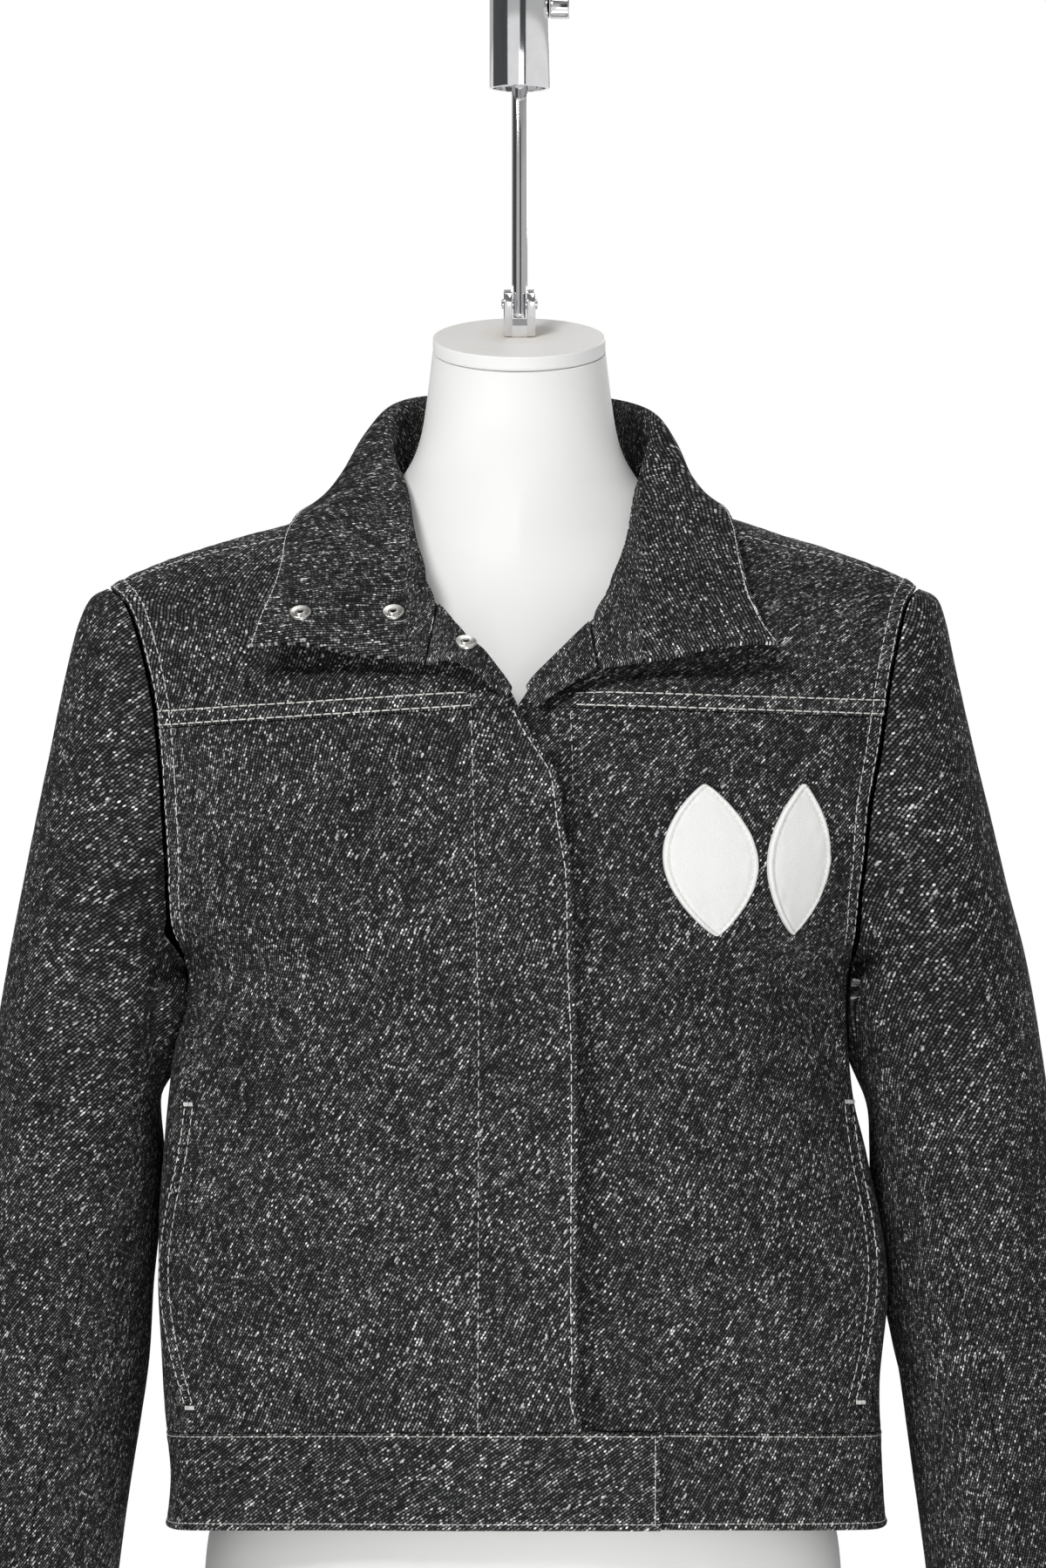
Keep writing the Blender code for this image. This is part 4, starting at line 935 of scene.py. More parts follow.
@dataclass(frozen=True)
class Thread(Finish):
    """Off-white cotton topstitching thread, twisted."""

    slot: str = "charcoal_denim"
    pale: Colour = (0.70, 0.69, 0.66)
    shade: Colour = (0.42, 0.41, 0.39)

    def dress(self, bench: Bench) -> None:
        """Adds the twist and its slight soiling.

        Args:
            bench: The material's nodes.
        """
        spot = bench.place()
        soil, twist = bench.grain(spot, 0.35), bench.grain(spot, 2.4, 1.0)
        bench.set("Specular IOR Level", 0.3)
        colour = bench.tint((soil * 0.9 + twist * 0.3 - 0.2).held(), self.pale, self.shade)
        bench.coat(colour, twist * 0.2 + 0.7, twist, 0.0002, 0.6)


@dataclass(frozen=True)
class Leather(Finish):
    """White smooth leather with a fine pebbled grain."""

    slot: str = "white_leather"
    pale: Colour = (0.78, 0.78, 0.77)
    shade: Colour = (0.66, 0.655, 0.64)

    def dress(self, bench: Bench) -> None:
        """Adds the grain and a faint unevenness.

        Args:
            bench: The material's nodes.
        """
        spot = bench.place()
        cells = bench.node("ShaderNodeTexVoronoi", {"feature": "DISTANCE_TO_EDGE"},
                           {"Vector": spot, "Scale": 1.1})
        cloud, pores = bench.grain(spot, 0.07, 3.0), (cells * 3.0).held()
        colour = bench.tint((1 - pores * 0.7 - cloud * 0.3).held(), self.pale, self.shade)
        bench.coat(colour, cloud * 0.25 + 0.38, pores + cloud * 0.5, 0.00012, 0.5)


@dataclass(frozen=True)
class Steel(Finish):
    """Polished steel with faint turning marks and a few finger smears."""

    slot: str = "polished_steel"
    bright: Colour = (0.80, 0.80, 0.81)
    dull: Colour = (0.52, 0.52, 0.54)
    polish: float = 0.03

    def dress(self, bench: Bench) -> None:
        """Adds the turning marks and the smears.

        Args:
            bench: The material's nodes.
        """
        spot = bench.place()
        rings = bench.grain(bench.vector("MULTIPLY", {0: spot, 1: (0.15, 0.15, 3.0)}), 1.0, 3.0)
        smear = bench.grain(spot, 0.12, 3.0)
        bench.set("Metallic", 1.0)
        bench.coat(bench.tint((smear * 0.5 - 0.15).held(), self.bright, self.dull),
                   rings * 0.05 + smear * 0.08 + self.polish, rings, 0.00001, 0.1)


@dataclass(frozen=True)
class Nickel(Steel):
    """Duller plated brass, as on snaps."""

    bright: Colour = (0.62, 0.61, 0.58)
    dull: Colour = (0.34, 0.33, 0.31)
    polish: float = 0.24


@dataclass(frozen=True)
class CapPaint(Finish):
    """Satin white paint on the neck's cap, worn to beige round the clevis; where the cap faces up it is painted
    a darker grey as painted shade, while its wall keeps the white.
    """

    slot: str = "cap_paint"
    # pale is the grey painted on the upward-facing top as painted shade; wall is the paint's own white.
    pale: Colour = (0.65, 0.64, 0.625)
    shade: Colour = (0.54, 0.48, 0.40)
    wall: Colour = (0.76, 0.76, 0.755)
    middle: Colour = (-1.75, 4.8, 778.0)
    up: Colour = (0.0, -0.3007, 0.9537)

    def dress(self, bench: Bench) -> None:
        """Adds faint handling marks on the cap's top, and the painted shade that greys the top where it faces
        up.

        Args:
            bench: The material's nodes.
        """
        spot = bench.place()
        marks, fine = bench.grain(spot, 0.05, 4.0), bench.grain(spot, 0.6, 3.0)
        away = bench.vector("DISTANCE", {0: spot, 1: self.middle}, "Value")
        facing = bench.node("ShaderNodeNewGeometry", {}, {}, "Normal")
        lift = bench.vector("DOT_PRODUCT", {0: facing, 1: self.up}, "Value")
        worn = (1.0 - (away - 9.0) / 16.0).held() * 0.55 + ((marks - 0.56) * 3.0).held() * 0.25
        top = bench.tint(worn.held(), self.pale, self.shade)
        # Painted shade: faces turned up get the darker grey top colour, sideways faces keep the white wall
        # colour.
        colour = bench.tint(((lift - 0.55) * 6.0).held(), self.wall, top)
        bench.coat(colour, fine * 0.2 + 0.33, fine, 0.00005, 0.4)


@dataclass(frozen=True)
class FormPaint(Finish):
    """Matt white paint on the glass-fibre dress form."""

    slot: str = "form_white"
    pale: Colour = (0.75, 0.75, 0.745)
    shade: Colour = (0.69, 0.685, 0.67)

    def dress(self, bench: Bench) -> None:
        """Adds a faint orange peel and scuffs.

        Args:
            bench: The material's nodes.
        """
        spot = bench.place()
        scuffs, peel = bench.grain(spot, 0.02, 4.0), bench.grain(spot, 0.5)
        colour = bench.tint((scuffs * 0.8).held(), self.pale, self.shade)
        bench.coat(colour, peel * 0.15 + 0.5, peel, 0.0001, 0.35)


@dataclass(frozen=True)
class Paper(Finish):
    """Plain pale studio floor, very faintly uneven."""

    pale: Colour = (0.80, 0.80, 0.80)
    shade: Colour = (0.77, 0.77, 0.77)
    scale: float = 0.004
    roughness: float = 0.8

    def dress(self, bench: Bench) -> None:
        """Adds the unevenness."""
        cloud = bench.grain(bench.place(), self.scale, 3.0)
        bench.coat(bench.tint(cloud, self.pale, self.shade), cloud * 0.1 + self.roughness)


@dataclass(frozen=True)
class Felt(Paper):
    """Dark grey felt on the studio's boards."""

    pale: Colour = (0.10, 0.105, 0.11)
    shade: Colour = (0.06, 0.063, 0.068)
    scale: float = 0.002
    roughness: float = 0.85


def noise_at(spot: Sequence[float], across: float, up: float, seed: float = 0.0) -> float:
    """Gives smooth noise in space, between about -1 and 1."""
    return noise.noise(Vector((spot[0] / across + seed, spot[1] / across, spot[2] / up - seed)))


@dataclass(frozen=True)
class Fold:
    """A soft fold or crease, drawn on the front view as a line."""

    line: tuple[tuple[float, float], ...]
    depth: float
    width: float
    steepness: float = 2.0


@dataclass(frozen=True)
class Stitching:
    """A row of stitches beside one of a panel's edges; leaning rows draw away from it towards the neck."""

    run: Run
    inset: float
    above: float = -1000.0
    trim: tuple[float, float] = (0.0, 0.0)
    thick: bool = False
    lean: float = 0.0
    half_shoulders: float = 205.0

    def distance(self, spots: np.ndarray) -> np.ndarray:
        """Gives how far from the edge the row runs beside each of some points."""
        return self.inset + self.lean * (self.half_shoulders - np.abs(spots[..., 0]))


def unit(vectors: np.ndarray) -> np.ndarray:
    """Gives vectors the length 1."""
    return vectors / np.maximum(np.linalg.norm(vectors, axis=-1, keepdims=True), 1e-9)


def facings(grid: np.ndarray) -> np.ndarray:
    """Gives the normals of a grid of points, not yet of length 1."""
    return np.cross(np.gradient(grid, axis=1), np.gradient(grid, axis=0))


def reached(spots: np.ndarray, axis: int = 0) -> np.ndarray:
    """Gives the length along lines of points up to each point."""
    steps = np.cumsum(np.linalg.norm(np.diff(spots, axis=axis), axis=-1), axis=axis)
    return np.concatenate([np.zeros_like(steps.take([0], axis)), steps], axis=axis)


def quads(rows: int, columns: int) -> np.ndarray:
    """Gives the faces of a grid of points, as rows of corner numbers."""
    index = np.arange(rows * columns).reshape(rows, columns)
    return np.stack([index[:-1, :-1], index[:-1, 1:], index[1:, 1:], index[1:, :-1]], axis=-1).reshape(-1, 4)


def around(steps: int) -> list[tuple[float, float]]:
    """Gives the cosines and sines of even steps once round."""
    turns = (2 * math.pi * step / steps for step in range(steps))
    return [(math.cos(turn), math.sin(turn)) for turn in turns]


def hoops(rings: int, steps: int) -> list[tuple[int, ...]]:
    """Gives the faces between rings of points that lie one above another."""
    starts = [(ring * steps, step, (step + 1) % steps) for ring in range(rings - 1) for step in range(steps)]
    return [(foot + step, foot + after, foot + steps + after, foot + steps + step)
            for foot, step, after in starts]


@dataclass
class Cloth:
    """A cloth piece as a fine grid of points in millimetres, with its edges, seams and folds worked in."""

    name: str
    spots: np.ndarray
    thickness: float = 1.8
    grain: float = 0.0
    rows: tuple[Stitching, ...] = ()
    folds: tuple[Fold, ...] = ()
    softness: float = 1.0
    roll: float = 1.3
    puckers: float = 0.30
    calm: float = 12.0
    edge_wear: float = 0.5
    tilts: tuple[tuple[float, float, float], ...] = ()
    finish: Finish = field(default_factory=Denim)
    normals: np.ndarray = field(init=False)
    edges: dict[Run, np.ndarray] = field(init=False)
    outer: np.ndarray = field(init=False)
    piece: bpy.types.Object = field(init=False)

    def __post_init__(self) -> None:
        """Measures the grid's distances from its four edges and works its relief in."""
        self.normals = unit(facings(self.spots))
        start, foot = reached(self.spots, 1), reached(self.spots)
        self.edges = {Run.START: start, Run.END: start[:, -1:] - start,
                      Run.FOOT: foot, Run.TOP: foot[-1:] - foot}
        self.outer = self.spots + self.normals * self.relief()[..., None]

    def relief(self) -> np.ndarray:
        """Gives how far each point stands off the plain surface.

        Returns:
            The distances, positive outwards.
        """
        height = np.zeros(self.spots.shape[:2])
        for run in Run:
            near = np.clip(self.edges[run], 0, self.roll)
            height -= self.roll - np.sqrt(np.maximum(self.roll**2 - (self.roll - near) ** 2, 0))
        for run, insets, share in self.seams():
            away = self.edges[run]
            beyond = self.eased((away - np.maximum.reduce(insets)) / 1.6 + 0.5)
            ridge = 0.55 * (1 - beyond) * self.eased(away / 1.5)
            for inset in insets:
                ridge -= 0.42 * np.exp(-(((away - inset) / 0.95) ** 2))
            height += ridge * share
        height += self.drawn()
        height += self.crumpled()
        for across, level, slope in self.tilts:
            up = self.spots[..., 2] - level
            reach = np.hypot(self.spots[..., 0] - across, up)
            height -= slope * up * np.exp(-((reach / 10.0) ** 2))
        return height

    def seams(self) -> list[tuple[Run, list[np.ndarray], np.ndarray]]:
        """Gives the stitched edges.

        Returns:
            Each edge, its rows' distances from it, and how fully it is stitched at each point.
        """
        found = []
        for run in Run:
            rows = [row for row in self.rows if row.run is run]
            if rows:
                share = self.eased((self.spots[..., 2] - rows[0].above) / 8.0)
                found.append((run, [row.distance(self.spots) for row in rows], share))
        return found

    def eased(self, share: np.ndarray) -> np.ndarray:
        """Gives smooth steps from 0 to 1."""
        share = np.clip(share, 0, 1)
        return share * share * (3 - 2 * share)

    def drawn(self) -> np.ndarray:
        """Gives the relief of the folds drawn on the front view.

        Returns:
            The distances.
        """
        height = np.zeros(self.spots.shape[:2])
        facing_front = self.eased((-self.normals[..., 1] - 0.05) / 0.35)
        view = self.spots[..., [0, 2]]
        for fold in self.folds:
            near = np.full(height.shape, 1e9)
            for start, end in zip(fold.line, fold.line[1:]):
                a, b = np.array(start), np.array(end)
                share = np.clip(((view - a) @ (b - a)) / max((b - a) @ (b - a), 1e-9), 0, 1)
                near = np.minimum(near, np.linalg.norm(view - a - share[..., None] * (b - a), axis=2))
            height += fold.depth * np.exp(-((near / fold.width) ** fold.steepness)) * facing_front
        return height

    def crumpled(self) -> np.ndarray:
        """Gives soft undulation, upright streaks, and puckers beside stitched edges.

        Returns:
            The distances.
        """
        height = np.zeros(self.spots.shape[:2])
        edge = np.full(height.shape, 1e9)
        for run, _, share in self.seams():
            edge = np.minimum(edge, self.edges[run] + 40.0 * (1 - share))
        nearest = np.minimum.reduce(list(self.edges.values()))
        calm = self.eased(nearest / self.calm) if self.calm else np.ones(height.shape)
        for index in np.ndindex(height.shape):
            spot = self.spots[index]
            broad = noise_at(spot, 70.0, 95.0) * 1.5 + noise_at(spot, 30.0, 140.0, 7.0) * 0.6
            close = noise_at(spot, 14.0, 34.0, 3.0) * 0.26 + noise_at(spot, 6.0, 9.0, 5.0) * 0.07
            height[index] = (broad * calm[index] + close) * self.softness
            if edge[index] < 22.0:
                fade = math.exp(-((edge[index] / 11.0) ** 2))
                height[index] += self.puckers * fade * noise_at(spot, 5.5, 5.5, 11.0) * 1.6
        return height

    def raised(self) -> np.ndarray:
        """Gives how worn each point is: paler along edges and on the ridges beside stitches.

        Returns:
            The wear at each point.
        """
        wear = np.zeros(self.spots.shape[:2])
        for run, insets, share in self.seams():
            away = self.edges[run]
            near = 1 - self.eased((away - np.maximum.reduce(insets)) / 3.0)
            for inset in insets:
                near -= 0.6 * np.exp(-(((away - inset) / 0.8) ** 2))
            wear = np.maximum(wear, near * share)
        for away in self.edges.values():
            wear = np.maximum(wear, self.edge_wear * (1 - self.eased(away / 3.0)))
        return wear

    def make(self) -> None:
        """Builds the piece as a closed body with both faces and its four cut edges."""
        rows, columns = self.spots.shape[:2]
        inner = self.outer - self.normals * self.thickness
        corners = np.concatenate([self.outer.reshape(-1, 3), inner.reshape(-1, 3)]) * MM
        count = rows * columns
        index = np.arange(count).reshape(rows, columns)
        front = quads(rows, columns)
        rim = []
        for ring in (index[0, :], index[:, -1], index[-1, ::-1], index[::-1, 0]):
            rim.append(np.stack([ring[1:], ring[:-1], ring[:-1] + count, ring[1:] + count], axis=-1))
        faces = np.concatenate([front, front[:, ::-1] + count, *rim])
        self.piece = mesh_piece(self.name, corners, faces, self.finish, (self.name,))
        coords = np.tile(self.flat().reshape(-1, 2), (2, 1))
        layer = self.piece.data.uv_layers.new(name="cloth")
        layer.data.foreach_set("uv", coords[faces.reshape(-1)].astype(np.float32).reshape(-1))
        attribute = self.piece.data.attributes.new("wear", "FLOAT", "POINT")
        attribute.data.foreach_set("value", np.tile(self.raised().reshape(-1), 2).astype(np.float32))

    def flat(self) -> np.ndarray:
        """Gives each point's place on the flat cloth in metres, turned so that X follows the twill."""
        start = self.edges[Run.START]
        return self.turned(start - start[:, start.shape[1] // 2, None], self.edges[Run.FOOT], self.grain)

    def turned(self, across: np.ndarray, up: np.ndarray, grain: float | np.ndarray) -> np.ndarray:
        """Turns places on the flat cloth by the twill's slope and gives them in metres."""
        cos, sin = np.cos(grain), np.sin(grain)
        return np.stack([across * cos + up * sin, up * cos - across * sin], axis=-1) * MM

    def along(self, row: Stitching) -> tuple[np.ndarray, np.ndarray]:
        """Gives a stitch row's line on the outer face.

        Args:
            row: The row.

        Returns:
            The line's points and their normals.
        """
        grids = (self.edges[row.run] - row.distance(self.spots), self.outer, self.normals)
        if row.run in (Run.FOOT, Run.TOP):
            grids = tuple(grid.swapaxes(0, 1) for grid in grids)
        found = []
        for place, *tables in zip(*grids):
            if place.max() >= 0:
                order = np.argsort(place)
                found.append([read(0.0, place[order], table[order]) for table in tables])
        line, facing = np.array(found).swapaxes(0, 1)
        sewn = line[:, 2] > row.above
        line, facing = line[sewn], facing[sewn]
        place = reached(line)
        keep = (place >= row.trim[0]) & (place <= place[-1] - row.trim[1])
        return line[keep], facing[keep]


def read(at: float, places: np.ndarray, table: np.ndarray) -> np.ndarray:
    """Reads a table of points between its places."""
    return np.array([np.interp(at, places, column) for column in table.T])


@dataclass
class SleeveCloth(Cloth):
    """A sleeve's cloth, laid out round an upright axis so that its twill keeps its slope over the head."""

    radius: float = 60.0
    head_axis: float = 180.0
    straight: float = 440.0
    head: tuple[float, float] = (450.0, 630.0)
    sewn_in: float = 1.9
    sewn_reach: float = 8.0

    def __post_init__(self) -> None:
        """Works the relief in and draws the head's edge against the body, where it is sewn on."""
        super().__post_init__()
        near = self.eased(1 - self.edges[Run.TOP] / self.sewn_reach)
        self.outer[..., 0] -= np.sign(self.spots[..., 0]) * self.sewn_in * near

    def flat(self) -> np.ndarray:
        """Gives each point's place on the flat cloth in metres, measured round the axis and upwards.

        Returns:
            The places.
        """
        ends = (self.spots[:, 0] + self.spots[:, -1]) / 2
        low = ends[ends[:, 2] < self.straight]
        level = self.spots[..., 2]
        axis = [np.polyval(np.polyfit(low[:, 2], low[:, number], 1), level) for number in (0, 1)]
        share = self.eased((level - self.head[0]) / (self.head[1] - self.head[0]))
        axis[0] += (np.sign(ends[0, 0]) * self.head_axis - axis[0]) * share
        turn = np.unwrap(np.arctan2(self.spots[..., 0] - axis[0], axis[1] - self.spots[..., 1]), axis=1)
        middle = turn[:, turn.shape[1] // 2]
        return self.turned((turn + (np.unwrap(middle) - middle)[:, None]) * self.radius, level, self.grain)


@dataclass
class CollarCloth(Cloth):
    """The collar's cloth, whose twill runs level on the right wing and leans on the left one."""

    left_grain: float = math.radians(-58)
    slant: float = 0.7
    half_neck: float = 60.0

    def flat(self) -> np.ndarray:
        """Gives each point's place on the flat cloth in metres, laid out from the front view.

        Returns:
            The places.
        """
        turn = np.clip(self.spots[..., 0] / self.half_neck, -1, 1)
        across = self.spots[..., 0] - self.slant * self.spots[..., 1] * turn
        up = self.spots[..., 2] + self.slant * self.spots[..., 1]
        return self.turned(across, up, self.grain + (self.left_grain - self.grain) * (turn + 1) / 2)


def placed(name: str, data: bpy.types.ID) -> bpy.types.Object:
    """Adds an object to the scene.

    Args:
        name: The object's name.
        data: Its mesh, light or camera.

    Returns:
        The object.
    """
    made = bpy.data.objects.new(name, data)
    bpy.context.scene.collection.objects.link(made)
    return made


def mesh_piece(name: str, corners: np.ndarray, faces: Sequence[Sequence[int]], finish: Finish,
               node: Sequence[str] = (), sharp: float = 60.0) -> bpy.types.Object:
    """Makes an object from corners and faces, dressed and riding with the jacket.

    Args:
        name: The piece's name.
        corners: Its corners in metres.
        faces: Its faces, as rows of corner numbers.
        finish: Its finish.
        node: The CAD nodes that it stands for.
        sharp: The angle in degrees above which an edge stays sharp.

    Returns:
        The piece.
    """
    mesh = bpy.data.meshes.new(name)
    mesh.from_pydata([tuple(corner) for corner in corners], [], [tuple(face) for face in faces])
    mesh.update()
    mesh.shade_smooth()
    mesh.set_sharp_from_angle(angle=math.radians(sharp))
    piece = placed(name, mesh)
    mesh.materials.append(finish.material())
    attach(piece, "root")
    if node:
        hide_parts(*node)
    LOG.info("%s: %d faces", name, len(faces))
    return piece


@dataclass(frozen=True)
class Needle:
    """Sews rows of stitches: short thick threads that rise from the cloth and dip back into it."""

    pitch: float = 5.0
    share: float = 0.72
    radius: float = 0.27
    rise: float = 0.04
    sides: int = 6
    rings: tuple[tuple[float, float, float], ...] = (
        (0.0, 0.45, -0.75), (0.12, 0.9, 0.1), (0.5, 1.0, 0.75), (0.88, 0.9, 0.1), (1.0, 0.45, -0.75))

    def sew(self, name: str, lines: Sequence[tuple[np.ndarray, np.ndarray]]) -> None:
        """Sews along lines, and makes the stitches one piece.

        Args:
            name: The piece's name.
            lines: Each line's points and normals in millimetres.
        """
        stitches = []
        for spots, normals in lines:
            if len(spots) < 2:
                continue
            place = reached(spots)
            number = max(int(place[-1] / self.pitch), 1)
            for stitch in range(number):
                start, end = ((stitch + 0.5 + half * self.share / 2) * place[-1] / number for half in (-1, 1))
                stitches.append(self.stitch(place, spots, normals, start, end))
        rings = np.array(hoops(len(self.rings), self.sides))
        faces = [rings + number * len(self.rings) * self.sides for number in range(len(stitches))]
        mesh_piece(name, np.concatenate(stitches) * MM, np.concatenate(faces), Thread())

    def stitch(self, place: np.ndarray, spots: np.ndarray, normals: np.ndarray, start: float,
               end: float) -> np.ndarray:
        """Makes one stitch as a tapered, arched thread.

        Args:
            place: Length along the line at each of its points.
            spots: The line's points.
            normals: Their normals.
            start: Where the stitch starts, along the line.
            end: Where it ends.

        Returns:
            Its corners.
        """
        corners = []
        for share, girth, lift in self.rings:
            at = start + (end - start) * share
            up = read(at, place, normals)
            along = unit(read(at + 0.6, place, spots) - read(at - 0.6, place, spots))
            up = unit(up - along * (up @ along))
            aside = np.cross(along, up)
            centre = read(at, place, spots) + up * (self.rise + lift * self.radius * 0.6)
            corners += [centre + (aside * out + up * swing) * self.radius * girth
                        for out, swing in around(self.sides)]
        return np.array(corners)


def crowded(length: float, step: float) -> np.ndarray:
    """Gives shares of a length, close together near its ends.

    Args:
        length: The length in millimetres.
        step: The spacing in the middle.

    Returns:
        The shares, from 0 to 1.
    """
    close = np.array([0.0, 0.2, 0.5, 0.9, 1.5, 2.2, 3.0, 3.8, 4.7,
                      5.6, 6.5, 7.4, 8.2, 9.0, 9.9, 11.0, 12.6, 14.6])
    if length < 2 * close[-1] + step:
        close = close[close < length / 2 - 1.0]
    first, last = close[-1], length - close[-1]
    count = max(int(round((last - first) / step)), 1)
    middle = np.linspace(first, last, count + 1)[1:-1]
    return np.concatenate([close, middle, length - close[::-1]]) / length


def path_length(point: Callable[[float], Vector]) -> float:
    """Gives the length of a curve that is a function of a part."""
    found = [point(index / 10) for index in range(11)]
    return sum((after - before).length for before, after in zip(found, found[1:]))


PX = 0.4332
MIDDLE_PX = 0.45
EYE_LEVEL = 545.0
Line = tuple[tuple[float, float], ...]


def seen(*pixels: tuple[float, float]) -> Line:
    """Gives places on the jacket's front from places in the camera's picture of 1200 by 1799."""
    return tuple(((px - 600.0) * PX, EYE_LEVEL + (899.5 - py) * PX) for px, py in pixels)


PLACKET = seen((539, 786), (541, 835), (545, 1000), (547.7, 1126), (549, 1182), (548, 1645))
LEFT_PLACKET = seen((653, 795), (656, 850), (658, 920))
NECK_SEAMS = (seen((500, 694), (493, 728), (486, 760)), seen((677, 712), (685.6, 753)))
LEFT_POCKET = (
    seen((212, 1270), (204, 1326), (191, 1387), (183.4, 1443), (184.5, 1489), (192.6, 1540), (203, 1581),
         (211.5, 1611)),
    seen((221, 1270), (213.5, 1326), (201, 1387), (193.5, 1443), (194.5, 1489), (202, 1540), (212, 1581),
         (220.5, 1611)),
)
RIGHT_POCKET = (
    seen((978, 1267), (986, 1326), (999, 1387), (1006, 1443), (1005, 1489), (998, 1540), (989, 1580),
         (982, 1606)),
    seen((969, 1267), (976.5, 1326), (989, 1387), (996, 1443), (995, 1489), (988.5, 1540), (980, 1580),
         (973, 1606)),
)
FRONT_FOLDS = (
    Fold(PLACKET, -0.42, 1.0),
    Fold(seen((542, 800), (548, 1000), (551, 1180), (551, 1640)), 0.35, 3.0),
    Fold(LEFT_PLACKET, -0.42, 1.0),
    Fold(seen((890, 1090), (920, 1140), (950, 1190)), -1.6, 9.0),
    Fold(seen((868, 1105), (900, 1160), (925, 1215)), 1.0, 9.0),
    Fold(seen((220, 960), (255, 985), (290, 1010)), -1.2, 8.0),
    Fold(seen((295, 1100), (290, 1165), (280, 1230)), -1.0, 9.0),
    Fold(seen((870, 1420), (905, 1450), (940, 1480)), -1.0, 9.0),
    Fold(seen((480, 1250), (487, 1400), (492, 1560)), -0.8, 10.0),
    Fold(seen((420, 900), (428, 1040), (424, 1180)), -0.8, 12.0),
    Fold(seen((760, 1250), (752, 1400), (756, 1580)), -0.8, 12.0),
    Fold(LEFT_POCKET[0], -0.42, 1.0),
    Fold(LEFT_POCKET[1], -0.42, 1.0),
    Fold(RIGHT_POCKET[0], -0.42, 1.0),
    Fold(RIGHT_POCKET[1], -0.42, 1.0),
    Fold(seen((206, 1270), (198, 1326), (185, 1387), (177, 1443), (178, 1489), (186, 1540), (205, 1605)),
         -0.9, 1.6),
    Fold(seen((984, 1267), (992, 1326), (1005, 1387), (1012, 1443), (1011, 1489), (1004, 1540), (988, 1606)),
         -0.9, 1.6),
)
UNDER_LAP = (
    Fold(seen((598, 800), (616, 836), (632, 866), (642, 890)), -8.0, 11.0, 4.0),
    Fold(seen((640, 886), (655, 930), (665, 985), (670, 1060), (671, 1640)), -7.0, 8.0, 4.0),
)
LAP_EDGE = (
    Fold(seen((586, 800), (610, 845), (632, 895), (646, 940), (655, 985), (659, 1060), (659, 1640)), 1.3, 4.5),)
UNDER_WINGS = (
    Fold(seen((295, 740), (341, 747), (408, 746), (476, 757), (530, 753), (558, 775)), -7.0, 11.0, 4.0),
    Fold(seen((884, 746), (829, 748), (766, 750), (716, 756), (678, 766), (640, 777), (610, 792)),
         -7.0, 11.0, 4.0),
    Fold(seen((890, 742), (874, 710), (856, 670), (842, 630), (836, 604)), -4.0, 8.0, 4.0),
)
HANGING = Table("level right left", [
    (240, 0, 0), (262, 0, 3), (275, 0, 5), (288, 0.5, 7), (310, 2.5, 9), (336, 4.6, 11), (357, 4.6, 11),
    (374, 3.2, 11.5), (384, 3.5, 14), (393, 8, 18), (403, 14, 22), (415, 17, 24), (430, 18, 24), (441, 12, 23),
    (447, 6, 20), (451, 2, 12), (456, 0, 0)])
SLEEVE_FOLDS = (
    Fold(seen((191, 1075), (180, 1120), (173, 1180), (172, 1240)), -5.0, 5.5),
    Fold(seen((977, 1050), (982, 1110), (990, 1170), (999, 1230)), -5.0, 6.0),
    Fold(seen((40, 1200), (42, 1290), (38, 1390)), -1.8, 9.0),
    Fold(seen((150, 780), (146, 860), (140, 940)), -1.3, 6.0),
    Fold(seen((100, 1010), (130, 1090), (165, 1150)), -1.3, 8.0),
    Fold(seen((1060, 740), (1085, 800), (1110, 860)), -1.3, 8.0),
    Fold(seen((1075, 1120), (1050, 1180), (1020, 1225)), -1.2, 8.0),
    Fold(seen((1128, 1290), (1120, 1400), (1126, 1500)), -1.2, 9.0),
)


@dataclass
class Workroom:
    """Cuts the cloth pieces from their surfaces and keeps them for sewing."""

    step: float = 3.3
    gap: float = 0.12
    pieces: dict[str, Cloth] = field(default_factory=dict)

    def cloth(self, name: str, point: Callable[[float, float], Vector], rests_on: Sequence[str],
              rows: Sequence[Stitching] = (), held: str = "hung", inside: tuple[float, float] = (0.0, 0.0),
              kind: type[Cloth] = Cloth, **details: object) -> None:
        """Cuts one panel.

        Args:
            name: The panel's name.
            point: Its surface, as a function of a part across and a height.
            rests_on: What it hangs from or lies on.
            rows: Its rows of stitches; the panel's part 0 is their start.
            held: How the cloth is held.
            inside: A place across and in depth that lies behind the panel.
            kind: The kind of cloth.
            details: Further details of the cloth.
        """
        wide = max(path_length(lambda part: point(part, height)) for height in (0.02, 0.5, 0.98))
        tall = max(path_length(lambda up: point(part, up)) for part in (0.02, 0.5, 0.98))
        shares = crowded(wide, self.step)
        lifts = crowded(tall, self.step)
        rises = [max(path_length(lambda up: point(share, up)), 1.0) for share in shares]
        grid = np.empty((len(lifts), len(shares), 3))
        for line, lift in enumerate(lifts):
            width = max(path_length(lambda part: point(part, lift)), 1.0)
            for place, share in enumerate(shares):
                part = mix(self.gap / width, 1 - self.gap / width, share)
                up = mix(self.gap / rises[place], 1 - self.gap / rises[place], lift)
                grid[line, place] = point(part, up)
        away = (grid - (*inside, 0.0)) * (1, 1, 0)
        if float((facings(grid) * away).sum()) < 0:
            grid = grid[:, ::-1]
            turned = {Run.START: Run.END, Run.END: Run.START}
            rows = [replace(row, run=turned[row.run]) if row.run in turned
                    else replace(row, trim=row.trim[::-1]) for row in rows]
        self.keep(kind(name, grid, rows=tuple(rows), **details), held, rests_on)

    def keep(self, made: Cloth, held: str, rests_on: Sequence[str]) -> None:
        """Builds a piece of cloth and keeps it for sewing.

        Args:
            made: The cloth.
            held: How it is held; not used.
            rests_on: What it hangs from or lies on; not used.
        """
        made.make()
        self.pieces[made.name] = made


